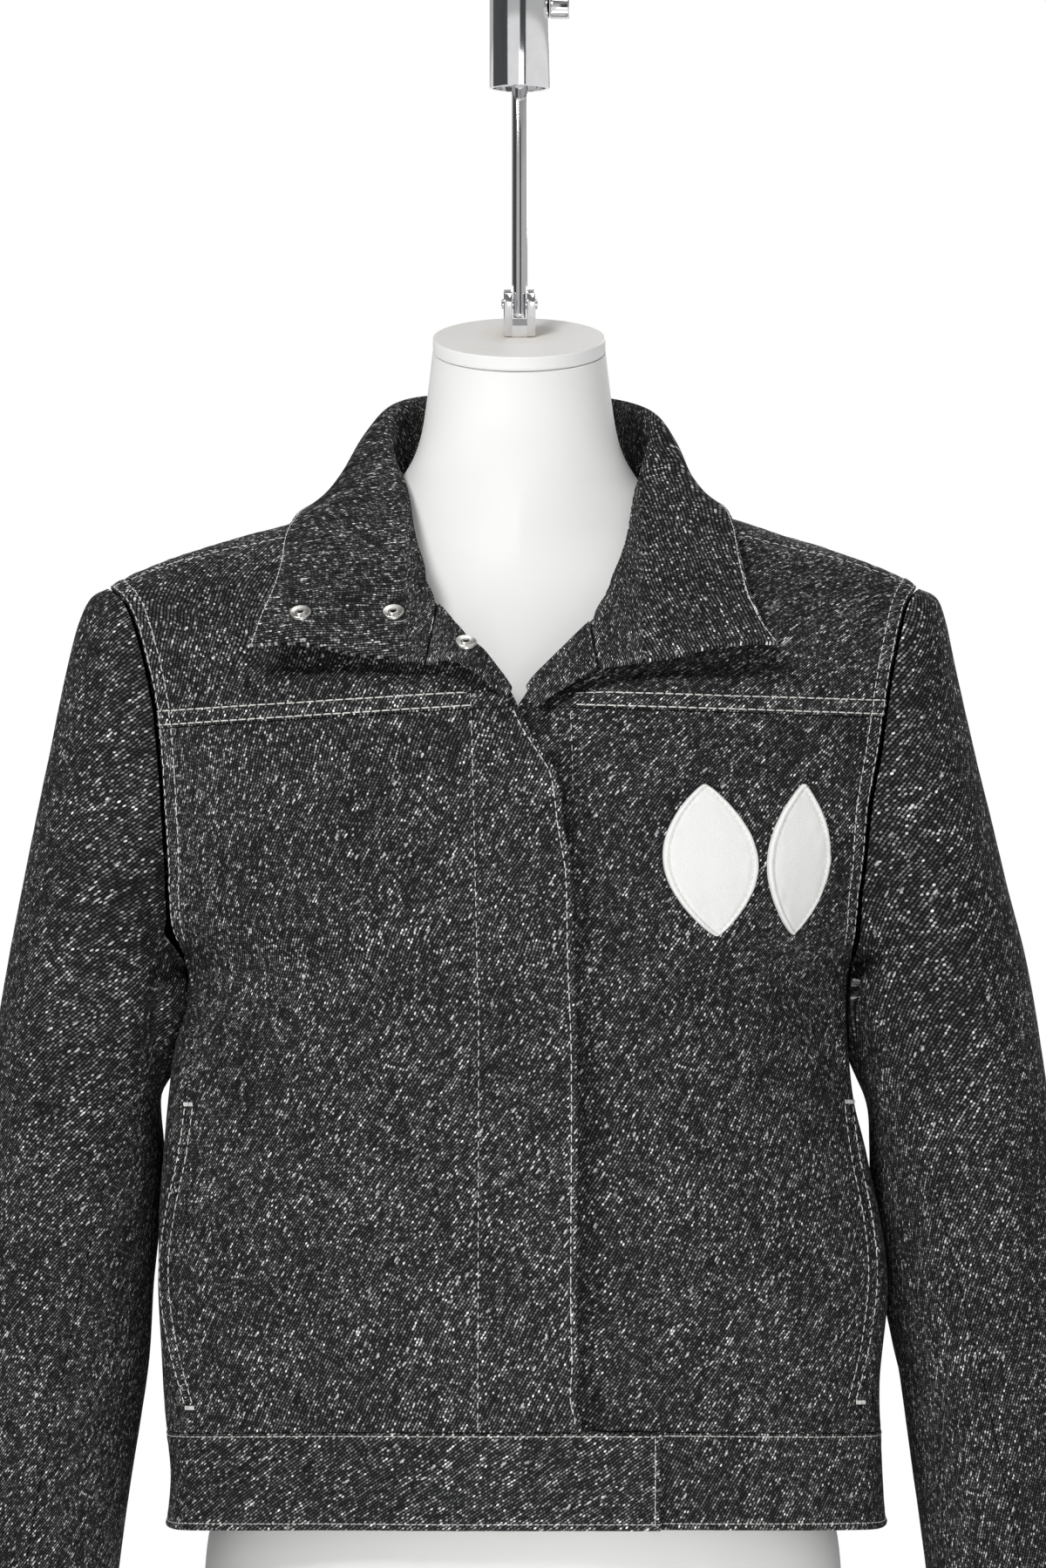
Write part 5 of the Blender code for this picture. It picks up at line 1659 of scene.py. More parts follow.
@dataclass
class Body:
    """The jacket's body: fronts, yokes, sides, back and waistband."""

    room: Workroom
    cut: JacketCut = field(default_factory=JacketCut)
    front_edge_inset: float = 3.3
    armhole_insets: tuple[float, float] = (1.8, 8.5)
    yoke_insets: tuple[float, float] = (1.6, 8.8)
    yoke_trims: tuple[tuple[float, float], ...] = ((24.5, 23.5), (34.0, 27.0))
    band_insets: tuple[float, float] = (3.4, 1.7)
    tab_inset: float = 3.0
    shoulder_inset: float = 12.0
    shoulder_lean: float = 0.257
    armpit: float = 462.0
    front_grain: float = math.radians(57)
    yoke_grain: float = math.radians(52)
    band_grains: tuple[float, float] = (math.radians(35), math.radians(60))

    def build(self) -> None:
        """Makes every panel of the body."""
        for side in Side:
            self.front(side)
            self.yoke(side)
            self.room.cloth("side_" + side.word, partial(self.cut.side_point, side),
                            ["front_" + side.word, "back"], grain=self.front_grain, folds=FRONT_FOLDS[-6:])
            tab = [Stitching(Run.END, self.tab_inset, trim=(3.0, 3.0))] if side is Side.RIGHT else []
            self.band(side.word, "front_" + side.word, tab, self.band_grains[side is Side.LEFT])
        rows = [Stitching(run, inset, self.armpit)
                for run in (Run.START, Run.END) for inset in self.armhole_insets]
        self.room.cloth("back", self.cut.back_panel_point, ["yoke_right", "yoke_left"], rows,
                        grain=self.front_grain)
        self.band("back", "back", [], self.band_grains[0])

    def front(self, side: Side) -> None:
        """Makes one front, with its fastening edge topstitched where it lies on top.

        Args:
            side: The wearer's side.
        """
        rows = [Stitching(Run.START, inset, self.armpit) for inset in self.armhole_insets]
        if side is Side.RIGHT:
            rows.append(Stitching(Run.END, self.front_edge_inset, trim=(4.0, 2.0)))
        self.room.cloth("front_" + side.word, partial(self.cut.front_panel_point, side),
                        ["yoke_" + side.word], rows, grain=self.front_grain,
                        folds=FRONT_FOLDS + (UNDER_LAP if side is Side.LEFT else LAP_EDGE))

    def yoke(self, side: Side) -> None:
        """Makes one front yoke with its two rows along the seam.

        Args:
            side: The wearer's side.
        """
        rows = [Stitching(Run.START, inset) for inset in self.armhole_insets]
        rows += [Stitching(Run.FOOT, inset, trim=(0.0, short), thick=True)
                 for inset, short in zip(self.yoke_insets, self.yoke_trims[side is Side.LEFT])]
        rows.append(Stitching(Run.TOP, self.shoulder_inset, trim=(2.0, 12.0), lean=self.shoulder_lean))
        self.room.cloth("yoke_" + side.word, partial(self.cut.yoke_point, side), ["dress_form"], rows,
                        "laid", grain=self.yoke_grain,
                        folds=(UNDER_LAP if side is Side.LEFT else LAP_EDGE) + UNDER_WINGS)

    def band(self, section: str, holder: str, rows: list[Stitching], grain: float) -> None:
        """Makes one stretch of the waistband.

        Args:
            section: The stretch: right, left or back.
            holder: The panel that it hangs from.
            rows: Its rows of stitches beside those at its hem and top.
            grain: Its twill's slope.
        """
        rows = [Stitching(Run.FOOT, self.band_insets[0]), Stitching(Run.TOP, self.band_insets[1]), *rows]
        self.room.cloth("waistband_" + section, partial(self.cut.band_point, section), [holder], rows,
                        grain=grain, softness=0.6)


@dataclass
class Sleeves:
    """The two-part sleeves."""

    room: Workroom
    cut: JacketCut = field(default_factory=JacketCut)
    stations: float = 15.0
    axis: float = 235.0
    hem_inset: float = 22.0
    sagging: float = 0.55
    clearance: float = 0.3
    grains: tuple[float, float] = (math.radians(52), math.radians(62))

    def build(self) -> None:
        """Makes the outer and the inner half of each sleeve."""
        for side in Side:
            for half, surface in (("top", self.cut.top_sleeve_point), ("under", self.cut.under_sleeve_point)):
                self.room.cloth(f"{half}_sleeve_{side.word}",
                                lambda p, h: self.hung(side, surface(side, p, h * self.stations)),
                                ["yoke_" + side.word, "back"], [Stitching(Run.TOP, self.hem_inset)],
                                inside=(side * self.axis, 10.0), kind=SleeveCloth, folds=SLEEVE_FOLDS,
                                grain=self.grains[side is Side.LEFT], puckers=0.15, roll=1.0)

    def hung(self, side: Side, spot: Vector) -> Vector:
        """Draws the sleeve's inner side in against the body, where its weight lets it sag below the armpit.

        Args:
            side: The wearer's side.
            spot: A point on the sleeve.

        Returns:
            The point where it hangs.
        """
        reach = HANGING.at(side.word, min(max(spot.z, 240.0), 456.0))
        if reach <= 0:
            return spot
        stations = np.arange(self.stations, -1.0, -1.0)
        inner, outer = (np.interp(spot.z, [SLEEVE.at(height, station) for station in stations],
                                  [SLEEVE.at(name, station) for station in stations])
                        for name, height in (("inner", "inner_level"), ("outer_" + side.word, "outer_level")))
        across = abs(spot.x)
        share = smooth(1 - (across - inner) / (self.sagging * (outer - inner)))
        body = BODY.at(side.word + "_side", spot.z) + self.clearance
        return Vector((side * max(across - reach * share, min(across, body)), spot.y, spot.z))


@dataclass
class Collar:
    """The folded collar in one piece, and the two turned facings below its ends."""

    room: Workroom
    cut: JacketCut = field(default_factory=JacketCut)
    last_station: float = 9.0
    steps: int = 64
    fine_steps: int = 420
    thickness: float = 2.2
    facing_thickness: float = 1.8
    edge_inset: float = 2.2
    snap_slope: float = 0.7
    grain: float = math.radians(3)

    def build(self) -> None:
        """Makes the collar and the facings."""
        stations = [self.last_station * (1 - crowd) for crowd in crowded(240.0, 2.6)]
        columns = [(Side.RIGHT, station) for station in stations]
        columns += [(Side.LEFT, station) for station in reversed(stations[:-1])]
        shares = np.linspace(0.0, 1.0, self.steps + 1)
        shares -= 0.035 * np.sin(2 * math.pi * shares)
        lengths = np.linspace(0.0, 1.0, self.fine_steps + 1)
        grid = np.empty((self.steps + 1, len(columns), 3))
        for place, (side, station) in enumerate(columns):
            line = np.array(smooth_path(self.cut.collar_section(side, station), self.fine_steps))
            for axis in range(3):
                grid[:, place, axis] = np.interp(shares, lengths, line[:, axis])
        self.lay("collar", self.eased(grid, 6), self.thickness, ["yoke_right", "yoke_left"],
                 (Stitching(Run.TOP, self.edge_inset, trim=(1.0, 1.0)),))
        for side in Side:
            parts = crowded(40.0, 1.2)
            sections = (self.cut.lapel_section(side, part, 24) for part in parts)
            grid = np.array([[tuple(spot) for spot in section] for section in sections])
            if facings(grid)[..., 1].sum() > 0:
                grid = grid[:, ::-1]
            self.lay("facing_" + side.word, grid, self.facing_thickness, ["collar"], ())

    def eased(self, grid: np.ndarray, rounds: int) -> np.ndarray:
        """Evens out a grid along its rows, with the ends held.

        Args:
            grid: The grid.
            rounds: How often each column moves towards its neighbours' middle.

        Returns:
            The evened grid.
        """
        for _ in range(rounds):
            grid = grid.copy()
            grid[:, 1:-1] += 0.5 * ((grid[:, 2:] + grid[:, :-2]) / 2 - grid[:, 1:-1])
        return grid

    def lay(self, name: str, grid: np.ndarray, thickness: float, rests_on: Sequence[str],
            rows: tuple[Stitching, ...]) -> None:
        """Makes a doubled piece whose thickness lies on its visible side.

        Args:
            name: The piece's name.
            grid: Its inner surface.
            thickness: Its thickness.
            rests_on: What it lies on.
            rows: Its rows of stitches.
        """
        facing = unit(self.eased(unit(facings(grid)), 8))
        snaps = Snaps(self.room)
        tilts = tuple((*snaps.middle(snap), self.snap_slope) for snap in snaps.names
                      if snaps.seat_of(snap) == name)
        self.room.keep(
            CollarCloth(name, grid + facing * thickness, thickness=thickness, rows=rows, grain=self.grain,
                        softness=0.45, puckers=0.2, calm=4.0, edge_wear=2.0, tilts=tilts), "folded", rests_on)


@dataclass
class Patches:
    """The two leaf-shaped leather patches on the left front's chest."""

    room: Workroom
    cut: JacketCut = field(default_factory=JacketCut)
    thickness: float = 1.3
    standoff: float = 0.9
    foot: float = 469.0
    height: float = 76.0
    leaves: tuple[tuple[str, float, float, float], ...] = (
        ("patch_inner", 94.0, 24.0, -6.0), ("patch_outer", 139.0, 16.0, 5.0))
    stitch_inset: float = 3.0

    def build(self) -> None:
        """Makes both leaves and sews them on."""
        rows = tuple(Stitching(run, self.stitch_inset) for run in (Run.START, Run.END))
        for name, middle, half_width, lean in self.leaves:
            grid = np.array([[tuple(self.spot(middle, half_width, lean, up, share))
                              for share in crowded(48.0, 1.5)] for up in crowded(76.0, 1.5)])
            leaf = Cloth(name, grid, thickness=self.thickness, finish=Leather(), folds=FRONT_FOLDS[3:5],
                         rows=rows, roll=0.8, calm=0.0)
            self.room.keep(leaf, "laid", ["front_left"])

    def spot(self, middle: float, half_width: float, lean: float, up: float, share: float) -> Vector:
        """Gives a point on a leaf.

        Args:
            middle: The leaf's distance across.
            half_width: Half its greatest width.
            lean: How far its top leans.
            up: Share of its height.
            share: Share of its width.

        Returns:
            The point.
        """
        swell = math.sin(math.pi * mix(0.004, 0.996, up)) ** 0.8
        across = middle + lean * (up - 0.5) + half_width * swell * (2 * share - 1)
        return self.cut.front_point(across, self.foot + self.height * up, self.standoff + self.thickness)


@dataclass
class Seamstress:
    """Sews the topstitching, on the panels' own edges and along lines on the front."""

    room: Workroom
    needle: Needle = field(default_factory=Needle)
    camera: Vector = Vector((0.0, -3000.0, EYE_LEVEL))

    def build(self) -> None:
        """Sews every row."""
        for name in ("front_right", "front_left", "yoke_right", "yoke_left", "back"):
            self.needle.sew(name + "_stitches", self.rows(name))
            thick = self.rows(name, thick=True)
            if thick:
                Needle(share=0.86, radius=0.37).sew(name + "_thick_stitches", thick)
        bands = self.rows("waistband_right", "waistband_left", "waistband_back")
        Needle(pitch=3.4, share=0.84, radius=0.21).sew("waistband_stitches", bands)
        Needle(pitch=3.4, share=0.84, radius=0.24).sew(
            "collar_stitches", self.rows("collar") + self.dropped(self.ground("collar"), *NECK_SEAMS))
        halves = [half + side.word for side in Side for half in ("top_sleeve_", "under_sleeve_")]
        self.needle.sew("sleeve_hem_stitches", self.rows(*halves))
        fine = Needle(share=0.6, radius=0.19)
        fine.sew("placket_stitches", self.dropped(self.ground("front_right", "yoke_right"), PLACKET))
        fine.sew("left_placket_stitches", self.dropped(self.ground("front_left"), LEFT_PLACKET))
        both = self.ground("front_right", "front_left", "side_right", "side_left")
        self.needle.sew("pocket_stitches", self.dropped(both, *LEFT_POCKET, *RIGHT_POCKET))
        bars = [seen((x, py - 2.4), (x + 0.6, py + 2.4))
                for px, py in ((216, 1267), (217.5, 1615.5), (974, 1264), (986.6, 1609))
                for x in (px - 4.8 + step * 1.2 for step in range(9))]
        tight = Needle(pitch=2.0, share=1.0, radius=0.34, rise=0.35)
        tight.sew("pocket_bar_tacks", self.dropped(both, *bars))
        small = Needle(pitch=3.0, share=0.62, radius=0.2)
        small.sew("patch_stitches", self.rows("patch_inner", "patch_outer"))

    def rows(self, *names: str, thick: bool = False) -> list[tuple[np.ndarray, np.ndarray]]:
        """Gives the thin or the thick rows of some pieces, as lines of points with their normals."""
        made = [self.room.pieces[name] for name in names]
        return [cloth.along(row) for cloth in made for row in cloth.rows if row.thick == thick]

    def ground(self, *names: str) -> BVHTree:
        """Gives the outer faces of some panels as one surface.

        Args:
            names: The panels' names.

        Returns:
            The surface, in millimetres.
        """
        corners: list[list[float]] = []
        faces: list[list[int]] = []
        for name in names:
            outer = self.room.pieces[name].outer
            faces += (quads(*outer.shape[:2]) + len(corners)).tolist()
            corners += outer.reshape(-1, 3).tolist()
        return BVHTree.FromPolygons(corners, faces)

    def dropped(self, ground: BVHTree, *lines: Line) -> list[tuple[np.ndarray, np.ndarray]]:
        """Lays lines that are drawn on the front view onto the cloth.

        Args:
            ground: The cloth's surface.
            lines: The lines' places across and levels.

        Returns:
            Each line's points on the cloth and their normals.
        """
        found = []
        for line in lines:
            flat = [Vector((across, 0.0, level)) for across, level in line]
            length = sum((after - before).length for before, after in zip(flat, flat[1:]))
            spots, normals = [], []
            for spot in smooth_path(flat, max(int(length / 1.5), 3)):
                level = EYE_LEVEL + (spot.z - EYE_LEVEL) / PX * MIDDLE_PX
                target = Vector((spot.x / PX * MIDDLE_PX, 0.0, level))
                hit, facing, _, _ = ground.ray_cast(self.camera, (target - self.camera).normalized())
                if hit:
                    spots.append(tuple(hit))
                    normals.append(tuple(facing if facing.y < 0 else -facing))
            found.append((np.array(spots), np.array(normals)))
        return found


@dataclass(frozen=True)
class Lathe:
    """Turns round pieces from profiles."""

    steps: int = 72

    def turn(self, name: str, profile: Sequence[tuple[float, float]], place: Matrix, finish: Finish,
             sharp: float = 40.0) -> None:
        """Turns one piece round its own Z axis.

        Args:
            name: The piece's name, which is also that of the CAD node that it stands for.
            profile: Radii and levels in millimetres, from the axis over the top and round to the foot.
            place: The piece's place in millimetres.
            finish: Its finish.
            sharp: The angle in degrees above which an edge stays sharp.
        """
        corners = [tuple(place @ Vector((radius * out, radius * swing, level)) * MM)
                   for radius, level in profile for out, swing in around(self.steps)]
        piece = mesh_piece(name, corners, hoops(len(profile), self.steps), finish, (name,), sharp)
        merged = bmesh.new()
        merged.from_mesh(piece.data)
        bmesh.ops.remove_doubles(merged, verts=merged.verts, dist=1e-7)
        bmesh.ops.recalc_face_normals(merged, faces=merged.faces)
        merged.to_mesh(piece.data)
        merged.free()
        piece.data.shade_smooth()
        piece.data.set_sharp_from_angle(angle=math.radians(sharp))

    def drum(self, radius: float, height: float, ease: float) -> list[tuple[float, float]]:
        """Gives a drum's profile with round rims.

        Args:
            radius: The drum's radius.
            height: Its height.
            ease: The rims' radius.

        Returns:
            The profile.
        """
        turns = [math.pi / 2 * step / 6 for step in range(7)]
        rim = radius - ease
        top = [(rim + ease * math.sin(turn), height - ease + ease * math.cos(turn)) for turn in turns]
        foot = [(rim + ease * math.cos(turn), ease - ease * math.sin(turn)) for turn in turns]
        return [(0.0, height), *top, *foot, (0.0, 0.0)]


@dataclass
class Snaps:
    """The three snap sockets on the collar's right wing and on the facing below it."""

    room: Workroom
    names: tuple[str, ...] = ("snap_right_outer", "snap_right_inner", "snap_right_facing")
    radius: float = 5.5
    bore: float = 1.5
    height: float = 1.5
    slope: float = 0.75

    def corners(self, name: str) -> np.ndarray:
        """Gives the corners of a CAD snap in millimetres."""
        return np.array([tuple(corner.co / MM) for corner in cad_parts[name].data.vertices])

    def middle(self, name: str) -> tuple[float, float]:
        """Gives a CAD snap's distance across and its level."""
        corners = self.corners(name)
        return tuple((corners.min(axis=0) + corners.max(axis=0))[[0, 2]] / 2)

    def seat_of(self, name: str) -> str:
        """Names the piece that a snap sits on."""
        return "facing_right" if name.endswith("facing") else "collar"

    def build(self) -> None:
        """Makes each snap where its CAD node sits, down onto the cloth and tipped up a little."""
        for name in self.names:
            corners = self.corners(name)
            middle = corners.mean(axis=0)
            thin = np.linalg.svd(corners - middle)[2][2]
            thin = thin if thin[1] < 0 else -thin
            seat, normal = Vector(middle + thin * ((corners - middle) @ thin).min()), Vector(thin)
            hit = Seamstress(self.room).ground(self.seat_of(name)).ray_cast(seat + normal * 6.0, -normal)[0]
            tipped = (normal + Vector((0, 0, self.slope))).normalized()
            axis = tipped.to_track_quat("Z", "Y").to_matrix().to_4x4()
            place = Matrix.Translation((hit or seat) + normal * 0.25) @ axis
            Lathe(40).turn(name, self.profile(), place, Nickel())

    def profile(self) -> list[tuple[float, float]]:
        """Gives the socket's profile: a bore, a raised lip, a trough and a rolled rim.

        Returns:
            Its radii and levels.
        """
        rim = [(self.radius * 0.80, self.height * 0.78)]
        for step in range(7):
            turn = math.pi * step / 6 * 0.75
            across, level = 0.55 * math.sin(turn), 0.55 * math.cos(turn)
            rim.append((self.radius - 0.55 + across, self.height - 0.62 + level))
        return [(self.bore, 0.15), (self.bore, self.height * 0.75), (self.bore + 0.25, self.height * 0.98),
                (self.bore + 0.6, self.height), (self.bore + 1.0, self.height * 0.86),
                (self.bore + 1.3, self.height * 0.62), *rim, (self.radius - 0.1, 0.0), (self.bore, 0.0),
                (self.bore, 0.15)]


@dataclass
class DressForm:
    """The white dress form, a limbless torso with a neck that tips forward."""

    steps: int = 120
    neck_middle: float = -2.0
    tilt: float = math.radians(17.5)
    foot_round: float = 2.5

    def evened(self, name: str, level: float) -> float:
        """Gives one of the form's measures, evened out over a few millimetres of height."""
        reach = min(1.0, level / 20.0, (768.0 - level) / 20.0)
        return sum(FORM.at(name, level + shift * reach) for shift in (-10.0, -5.0, 0.0, 5.0, 10.0)) / 5

    def ring(self, level: float) -> list[Vector]:
        """Gives one level section.

        Args:
            level: Height above the form's base.

        Returns:
            The section's points.
        """
        front, back, power, width = (self.evened(name, level)
                                     for name in ("front", "back", "round", "half_width"))
        power = 2 / power
        tip = smooth((level - 715.0) / 50.0) * math.tan(self.tilt)
        middle = self.neck_middle * smooth((level - 600.0) / 80.0)
        found = []
        for out, swing in around(self.steps):
            across = width * math.copysign(abs(out) ** power, out)
            depth = (front if swing < 0 else back) * math.copysign(abs(swing) ** power, swing)
            found.append(Vector((across + middle, depth, level + tip * depth)))
        return found

    def build(self) -> None:
        """Makes the form as one closed body with a slightly rounded foot."""
        levels = [0.0, 0.4, 1.2, 2.5]
        levels += list(np.arange(8.0, 640.0, 6.0)) + list(np.arange(640.0, 768.0, 2.0)) + [768.0]
        corners = []
        for level in levels:
            below = max(self.foot_round - level, 0.0)
            ease = self.foot_round - math.sqrt(max(self.foot_round**2 - below**2, 0.0))
            for spot in self.ring(level):
                away = Vector((spot.x, spot.y, 0.0)).normalized()
                corners.append(tuple((spot - away * ease) * MM))
        last, foot = (len(levels) - 1) * self.steps, len(corners)
        corners += [(0.0, 0.0, 0.0), tuple(np.mean(np.array(corners[last:]), axis=0))]
        faces = hoops(len(levels), self.steps)
        for step in range(self.steps):
            after = (step + 1) % self.steps
            faces += [(after, step, foot), (last + step, last + after, foot + 1)]
        mesh_piece("dress_form_skin", corners, faces, FormPaint(), ("dress_form",), 50.0)


@dataclass
class Hanger:
    """The neck's cap, and the clevis, rod, tube and screw that hold the form from above."""

    neck_middle: float = -2.0
    neck_top: float = 768.0
    tilt: float = math.radians(17.5)
    rest: float = 0.25
    cap_radius: float = 44.5
    cap_height: float = 7.5
    clevis_across: float = -1.75
    clevis_back: float = 4.8
    clevis_width: float = 16.4
    clevis_depth: float = 15.0
    clevis_height: float = 22.5
    clevis_cut: float = 3.6
    clevis_ease: float = 0.7
    slot_width: float = 7.4
    slot_floor: float = 6.0
    pin_height: float = 15.6
    pin_radius: float = 2.5
    pin_length: float = 18.6
    rod_radius: float = 4.05
    rod_ease: float = 0.8
    rod_below_pin: float = 7.0
    tongue_width: float = 6.4
    tongue_length: float = 17.0
    rod_top: float = 936.0
    tube_radius: float = 15.5
    tube_bore: float = 13.4
    tube_foot: float = 904.0
    tube_top: float = 955.0
    rim_depth: float = 3.0
    screw_level: float = 946.0
    screw_radius: float = 6.0
    screw_length: float = 10.0

    def build(self) -> None:
        """Makes every piece of the gear."""
        lean = Matrix.Rotation(self.tilt, 4, "X")
        aside = Matrix.Rotation(math.pi / 2, 4, "Y")
        foot = Vector((self.neck_middle, 0, self.neck_top)) + lean.to_3x3() @ Vector((0, 0, self.rest))
        Lathe(120).turn("neck_cap", Lathe().drum(self.cap_radius, self.cap_height, 0.6),
                        Matrix.Translation(foot) @ lean, CapPaint())
        cap_top = self.neck_top + (self.rest * 2 + self.cap_height) / math.cos(self.tilt)
        seat = Vector((self.clevis_across, self.clevis_back, cap_top + self.clevis_back * math.tan(self.tilt)))
        place = Matrix.Translation(seat) @ lean
        self.clevis(place)
        pin_spot = place @ Vector((0, 0, self.pin_height))
        half = self.pin_length / 2
        head = [(0.0, half), (self.pin_radius - 0.4, half), (self.pin_radius, half - 0.4),
                (self.pin_radius, -half + 0.4), (self.pin_radius - 0.4, -half), (0.0, -half)]
        Lathe(40).turn("clevis_pin", head, Matrix.Translation(pin_spot) @ aside, Steel())
        self.rod(pin_spot)
        self.tube(pin_spot.y)
        start = Vector((self.clevis_across + self.tube_radius + self.rest, pin_spot.y, self.screw_level))
        Lathe(48).turn("clamp_screw", Lathe().drum(self.screw_radius, self.screw_length, 1.2),
                       Matrix.Translation(start) @ aside, Steel())

    def clevis(self, place: Matrix) -> None:
        """Makes the clevis: a foot and two ears with cut corners.

        Args:
            place: Its place on the cap.
        """
        wide, deep = self.clevis_width / 2, self.clevis_depth / 2
        tall, cut = self.clevis_height, self.clevis_cut
        side_view = [(-deep, 0), (deep, 0), (deep, tall - cut), (deep - cut, tall), (-deep + cut, tall),
                     (-deep, tall - cut)]
        low_view = [(-deep, 0), (deep, 0), (deep, self.slot_floor), (-deep, self.slot_floor)]
        slot = self.slot_width / 2
        made = bmesh.new()
        for start, end, outline in ((-wide, -slot, side_view), (slot, wide, side_view),
                                    (-slot - 0.3, slot + 0.3, low_view)):
            near = [made.verts.new((start, y, z)) for y, z in outline]
            far = [made.verts.new((end, y, z)) for y, z in outline]
            faces = [made.faces.new(near), made.faces.new(far[::-1])]
            for index in range(len(outline)):
                after = (index + 1) % len(outline)
                faces.append(made.faces.new((near[index], far[index], far[after], near[after])))
            if outline is side_view:
                edges = list({edge for face in faces for edge in face.edges})
                bmesh.ops.bevel(made, geom=edges, offset=self.clevis_ease, segments=3, profile=0.5,
                                affect="EDGES")
        bmesh.ops.recalc_face_normals(made, faces=made.faces)
        made.verts.index_update()
        corners = [tuple((place @ corner.co) * MM) for corner in made.verts]
        faces = [tuple(corner.index for corner in face.verts) for face in made.faces]
        made.free()
        mesh_piece("clevis_ears", corners, faces, Steel(), ("clevis",), 35.0)

    def rod(self, pin_spot: Vector) -> None:
        """Makes the rod, flattened at its foot to a tongue between the clevis's ears.

        Args:
            pin_spot: The pin's middle.
        """
        foot, top, steps = pin_spot.z - self.rod_below_pin, self.rod_top, 64
        flat_end = foot + self.tongue_length - 1.0
        levels = [foot, foot + 0.3, foot + 0.8, foot + 2.0, flat_end - 0.2, flat_end, flat_end + 0.4,
                  flat_end + 3.0, top - 0.8, top - 0.2, top]
        corners = []
        for level in levels:
            low, high = (max(self.rod_ease - reach, 0.0) * 0.7 for reach in (level - foot, top - level))
            radius = self.rod_radius - (low + high)
            for out, swing in around(steps):
                across = radius * out
                if level <= flat_end:
                    across = min(max(across, -self.tongue_width / 2), self.tongue_width / 2)
                spot = Vector((self.clevis_across + across, pin_spot.y + radius * swing, level))
                corners.append(tuple(spot * MM))
        ends = [tuple(range(steps))[::-1], tuple(range(len(corners) - steps, len(corners)))]
        mesh_piece("rod_shaft", corners, hoops(len(levels), steps) + ends, Steel(), ("rod",), 35.0)

    def tube(self, depth: float) -> None:
        """Makes the drop tube with its hollow foot.

        Args:
            depth: The tube's place in depth.
        """
        radius, bore, foot, top = self.tube_radius, self.tube_bore, self.tube_foot, self.tube_top
        grip, end = self.rod_radius + self.rest, self.rod_top + self.rest
        profile = [(0.0, top), (radius - 0.4, top), (radius, top - 0.4), (radius, foot + 0.6),
                   (radius - 0.2, foot + 0.15), (radius - 0.7, foot), (bore + 0.3, foot), (bore, foot + 0.3),
                   (bore, foot + self.rim_depth), (grip, foot + self.rim_depth), (grip, end), (0.0, end)]
        place = Matrix.Translation(Vector((self.clevis_across, depth, 0)))
        Lathe(96).turn("drop_tube", profile, place, Steel())


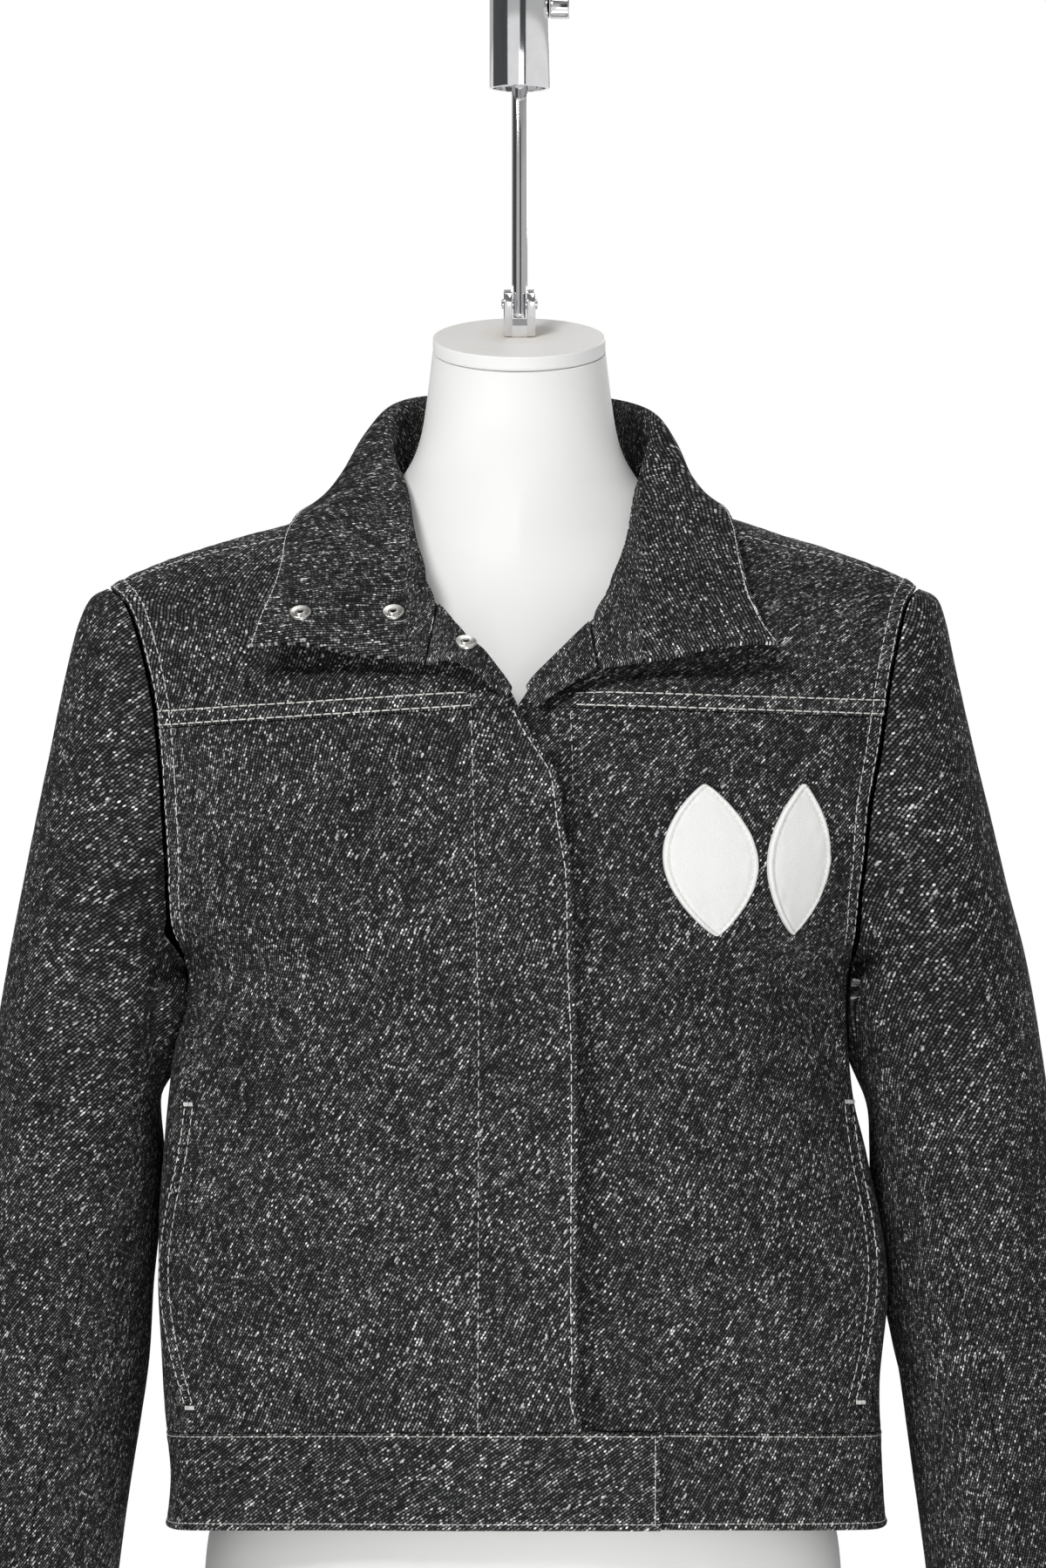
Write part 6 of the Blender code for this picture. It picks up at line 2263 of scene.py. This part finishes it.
@dataclass(frozen=True)
class Studio:
    """The floor, the soft light and the camera. Lengths are metres."""

    distance: float = 3.0
    eye_level: float = EYE_LEVEL * MM
    frame_height: float = 0.80955
    floor_radius: float = 0.5
    nadir: float = 0.85
    horizon: float = 0.50
    zenith: float = 0.18
    flag_distance: float = 4.0

    def build(self) -> None:
        """Sets the whole stage up."""
        self.floor()
        self.sky()
        for name, start, end in (
                ("left_flag", -122.0, -47.0), ("right_flag", 1.0, 24.0), ("far_flag", 158.0, 168.0)):
            self.flag(name, start, end)
        for name, place, size, power in (
                ("key_light", (-1.0, -1.7, 2.35), 0.7, 46.5), ("top_light", (0.2, -0.2, 2.3), 1.0, 6.0),
                ("low_light", (0.3, -2.4, 0.15), 0.8, 4.0), ("foot_light", (0.05, -0.6, 0.03), 0.4, 2.3),
                ("back_light", (0.9, 2.3, 1.7), 1.2, 22.0)):
            self.lamp(name, place, size, power)
        camera = bpy.data.cameras.new("camera")
        camera.sensor_width = 36.0
        camera.lens = 36.0 * self.distance / self.frame_height
        holder = placed("camera", camera)
        holder.location = (0.0, -self.distance, self.eye_level)
        holder.rotation_euler = (math.pi / 2, 0.0, 0.0)
        bpy.context.scene.camera = holder
        bpy.context.scene.view_settings.view_transform = "Standard"

    def prop(self, name: str, corners: Sequence[tuple[float, ...]], faces: Sequence[tuple[int, ...]],
             finish: Finish) -> bpy.types.Object:
        """Adds a piece of the stage.

        Args:
            name: Its name.
            corners: Its corners.
            faces: Its faces.
            finish: Its finish.

        Returns:
            The piece.
        """
        mesh = bpy.data.meshes.new(name)
        mesh.from_pydata(corners, [], faces)
        mesh.materials.append(finish.material())
        made = placed(name, mesh)
        return made

    def floor(self) -> None:
        """Lays a round pale floor with a rolled rim."""
        rings = [(radius, 0.0) for radius in (0.001, 0.1, 0.2, 0.3, 0.4, self.floor_radius - 0.01)]
        rings += [(self.floor_radius, -0.004), (self.floor_radius, -0.02)]
        corners = [(radius * out, radius * swing, level)
                   for radius, level in rings for out, swing in around(128)]
        self.prop("floor", corners, [*hoops(len(rings), 128), tuple(range(128))], Paper())

    def sky(self) -> None:
        """Surrounds the scene with white at eye level that darkens overhead."""
        world = bpy.data.worlds.new("white_studio")
        world.use_nodes = True
        tree = world.node_tree
        heading = added(tree, "ShaderNodeTexCoord", {}, {}, "Generated")
        stops = [(place, (grey,) * 3) for place, grey in (
            (0.0, self.nadir), (0.03, self.horizon), (0.30, self.horizon), (0.72, self.zenith))]
        height = added(tree, "ShaderNodeSeparateXYZ", {}, {0: heading}, 2)
        shade = added(tree, "ShaderNodeValToRGB", {"stops": stops}, {"Fac": height})
        direct = added(tree, "ShaderNodeLightPath", {}, {}, "Is Camera Ray")
        backdrop = tinted(tree, direct, shade, (1.0, 1.0, 1.0))
        tree.links.new(backdrop.socket, tree.nodes["Background"].inputs["Color"])
        bpy.context.scene.world = world

    def flag(self, name: str, start: float, end: float) -> None:
        """Stands a dark board beside the view, which shows only as a dark band in polished steel.

        Args:
            name: The board's name.
            start: The heading in degrees at which it starts.
            end: The heading at which it ends.
        """
        turns = [math.radians(mix(start, end, step / 12)) for step in range(13)]
        corners = [(self.flag_distance * math.sin(turn), -self.flag_distance * math.cos(turn), level)
                   for turn in turns for level in (-1.0, 3.0)]
        faces = [(2 * step, 2 * step + 2, 2 * step + 3, 2 * step + 1) for step in range(12)]
        board = self.prop(name, corners, faces, Felt())
        board.visible_camera = board.visible_diffuse = board.visible_shadow = False

    def lamp(self, name: str, place: tuple[float, float, float], size: float, power: float) -> None:
        """Hangs one soft square light that looks at the jacket's chest.

        Args:
            name: The light's name.
            place: Where it hangs.
            size: Its side.
            power: Its power in watts.
        """
        light = bpy.data.lights.new(name, "AREA")
        light.size = size
        light.energy = power
        holder = placed(name, light)
        holder.location = place
        holder.rotation_euler = (Vector((0, 0, 0.5)) - Vector(place)).to_track_quat("-Z", "Y").to_euler()
        holder.visible_camera = False


def main() -> None:
    """Builds the jacket, the form, the gear and the studio, in order."""
    logging.basicConfig(level=logging.INFO, format="%(message)s")
    room = Workroom()
    for part in (Body(room), Sleeves(room), Collar(room), Patches(room), Snaps(room), Seamstress(room),
                 DressForm(), Hanger(), Studio()):
        part.build()
        LOG.info("%s done", type(part).__name__)


if __name__ == "__main__":
    main()
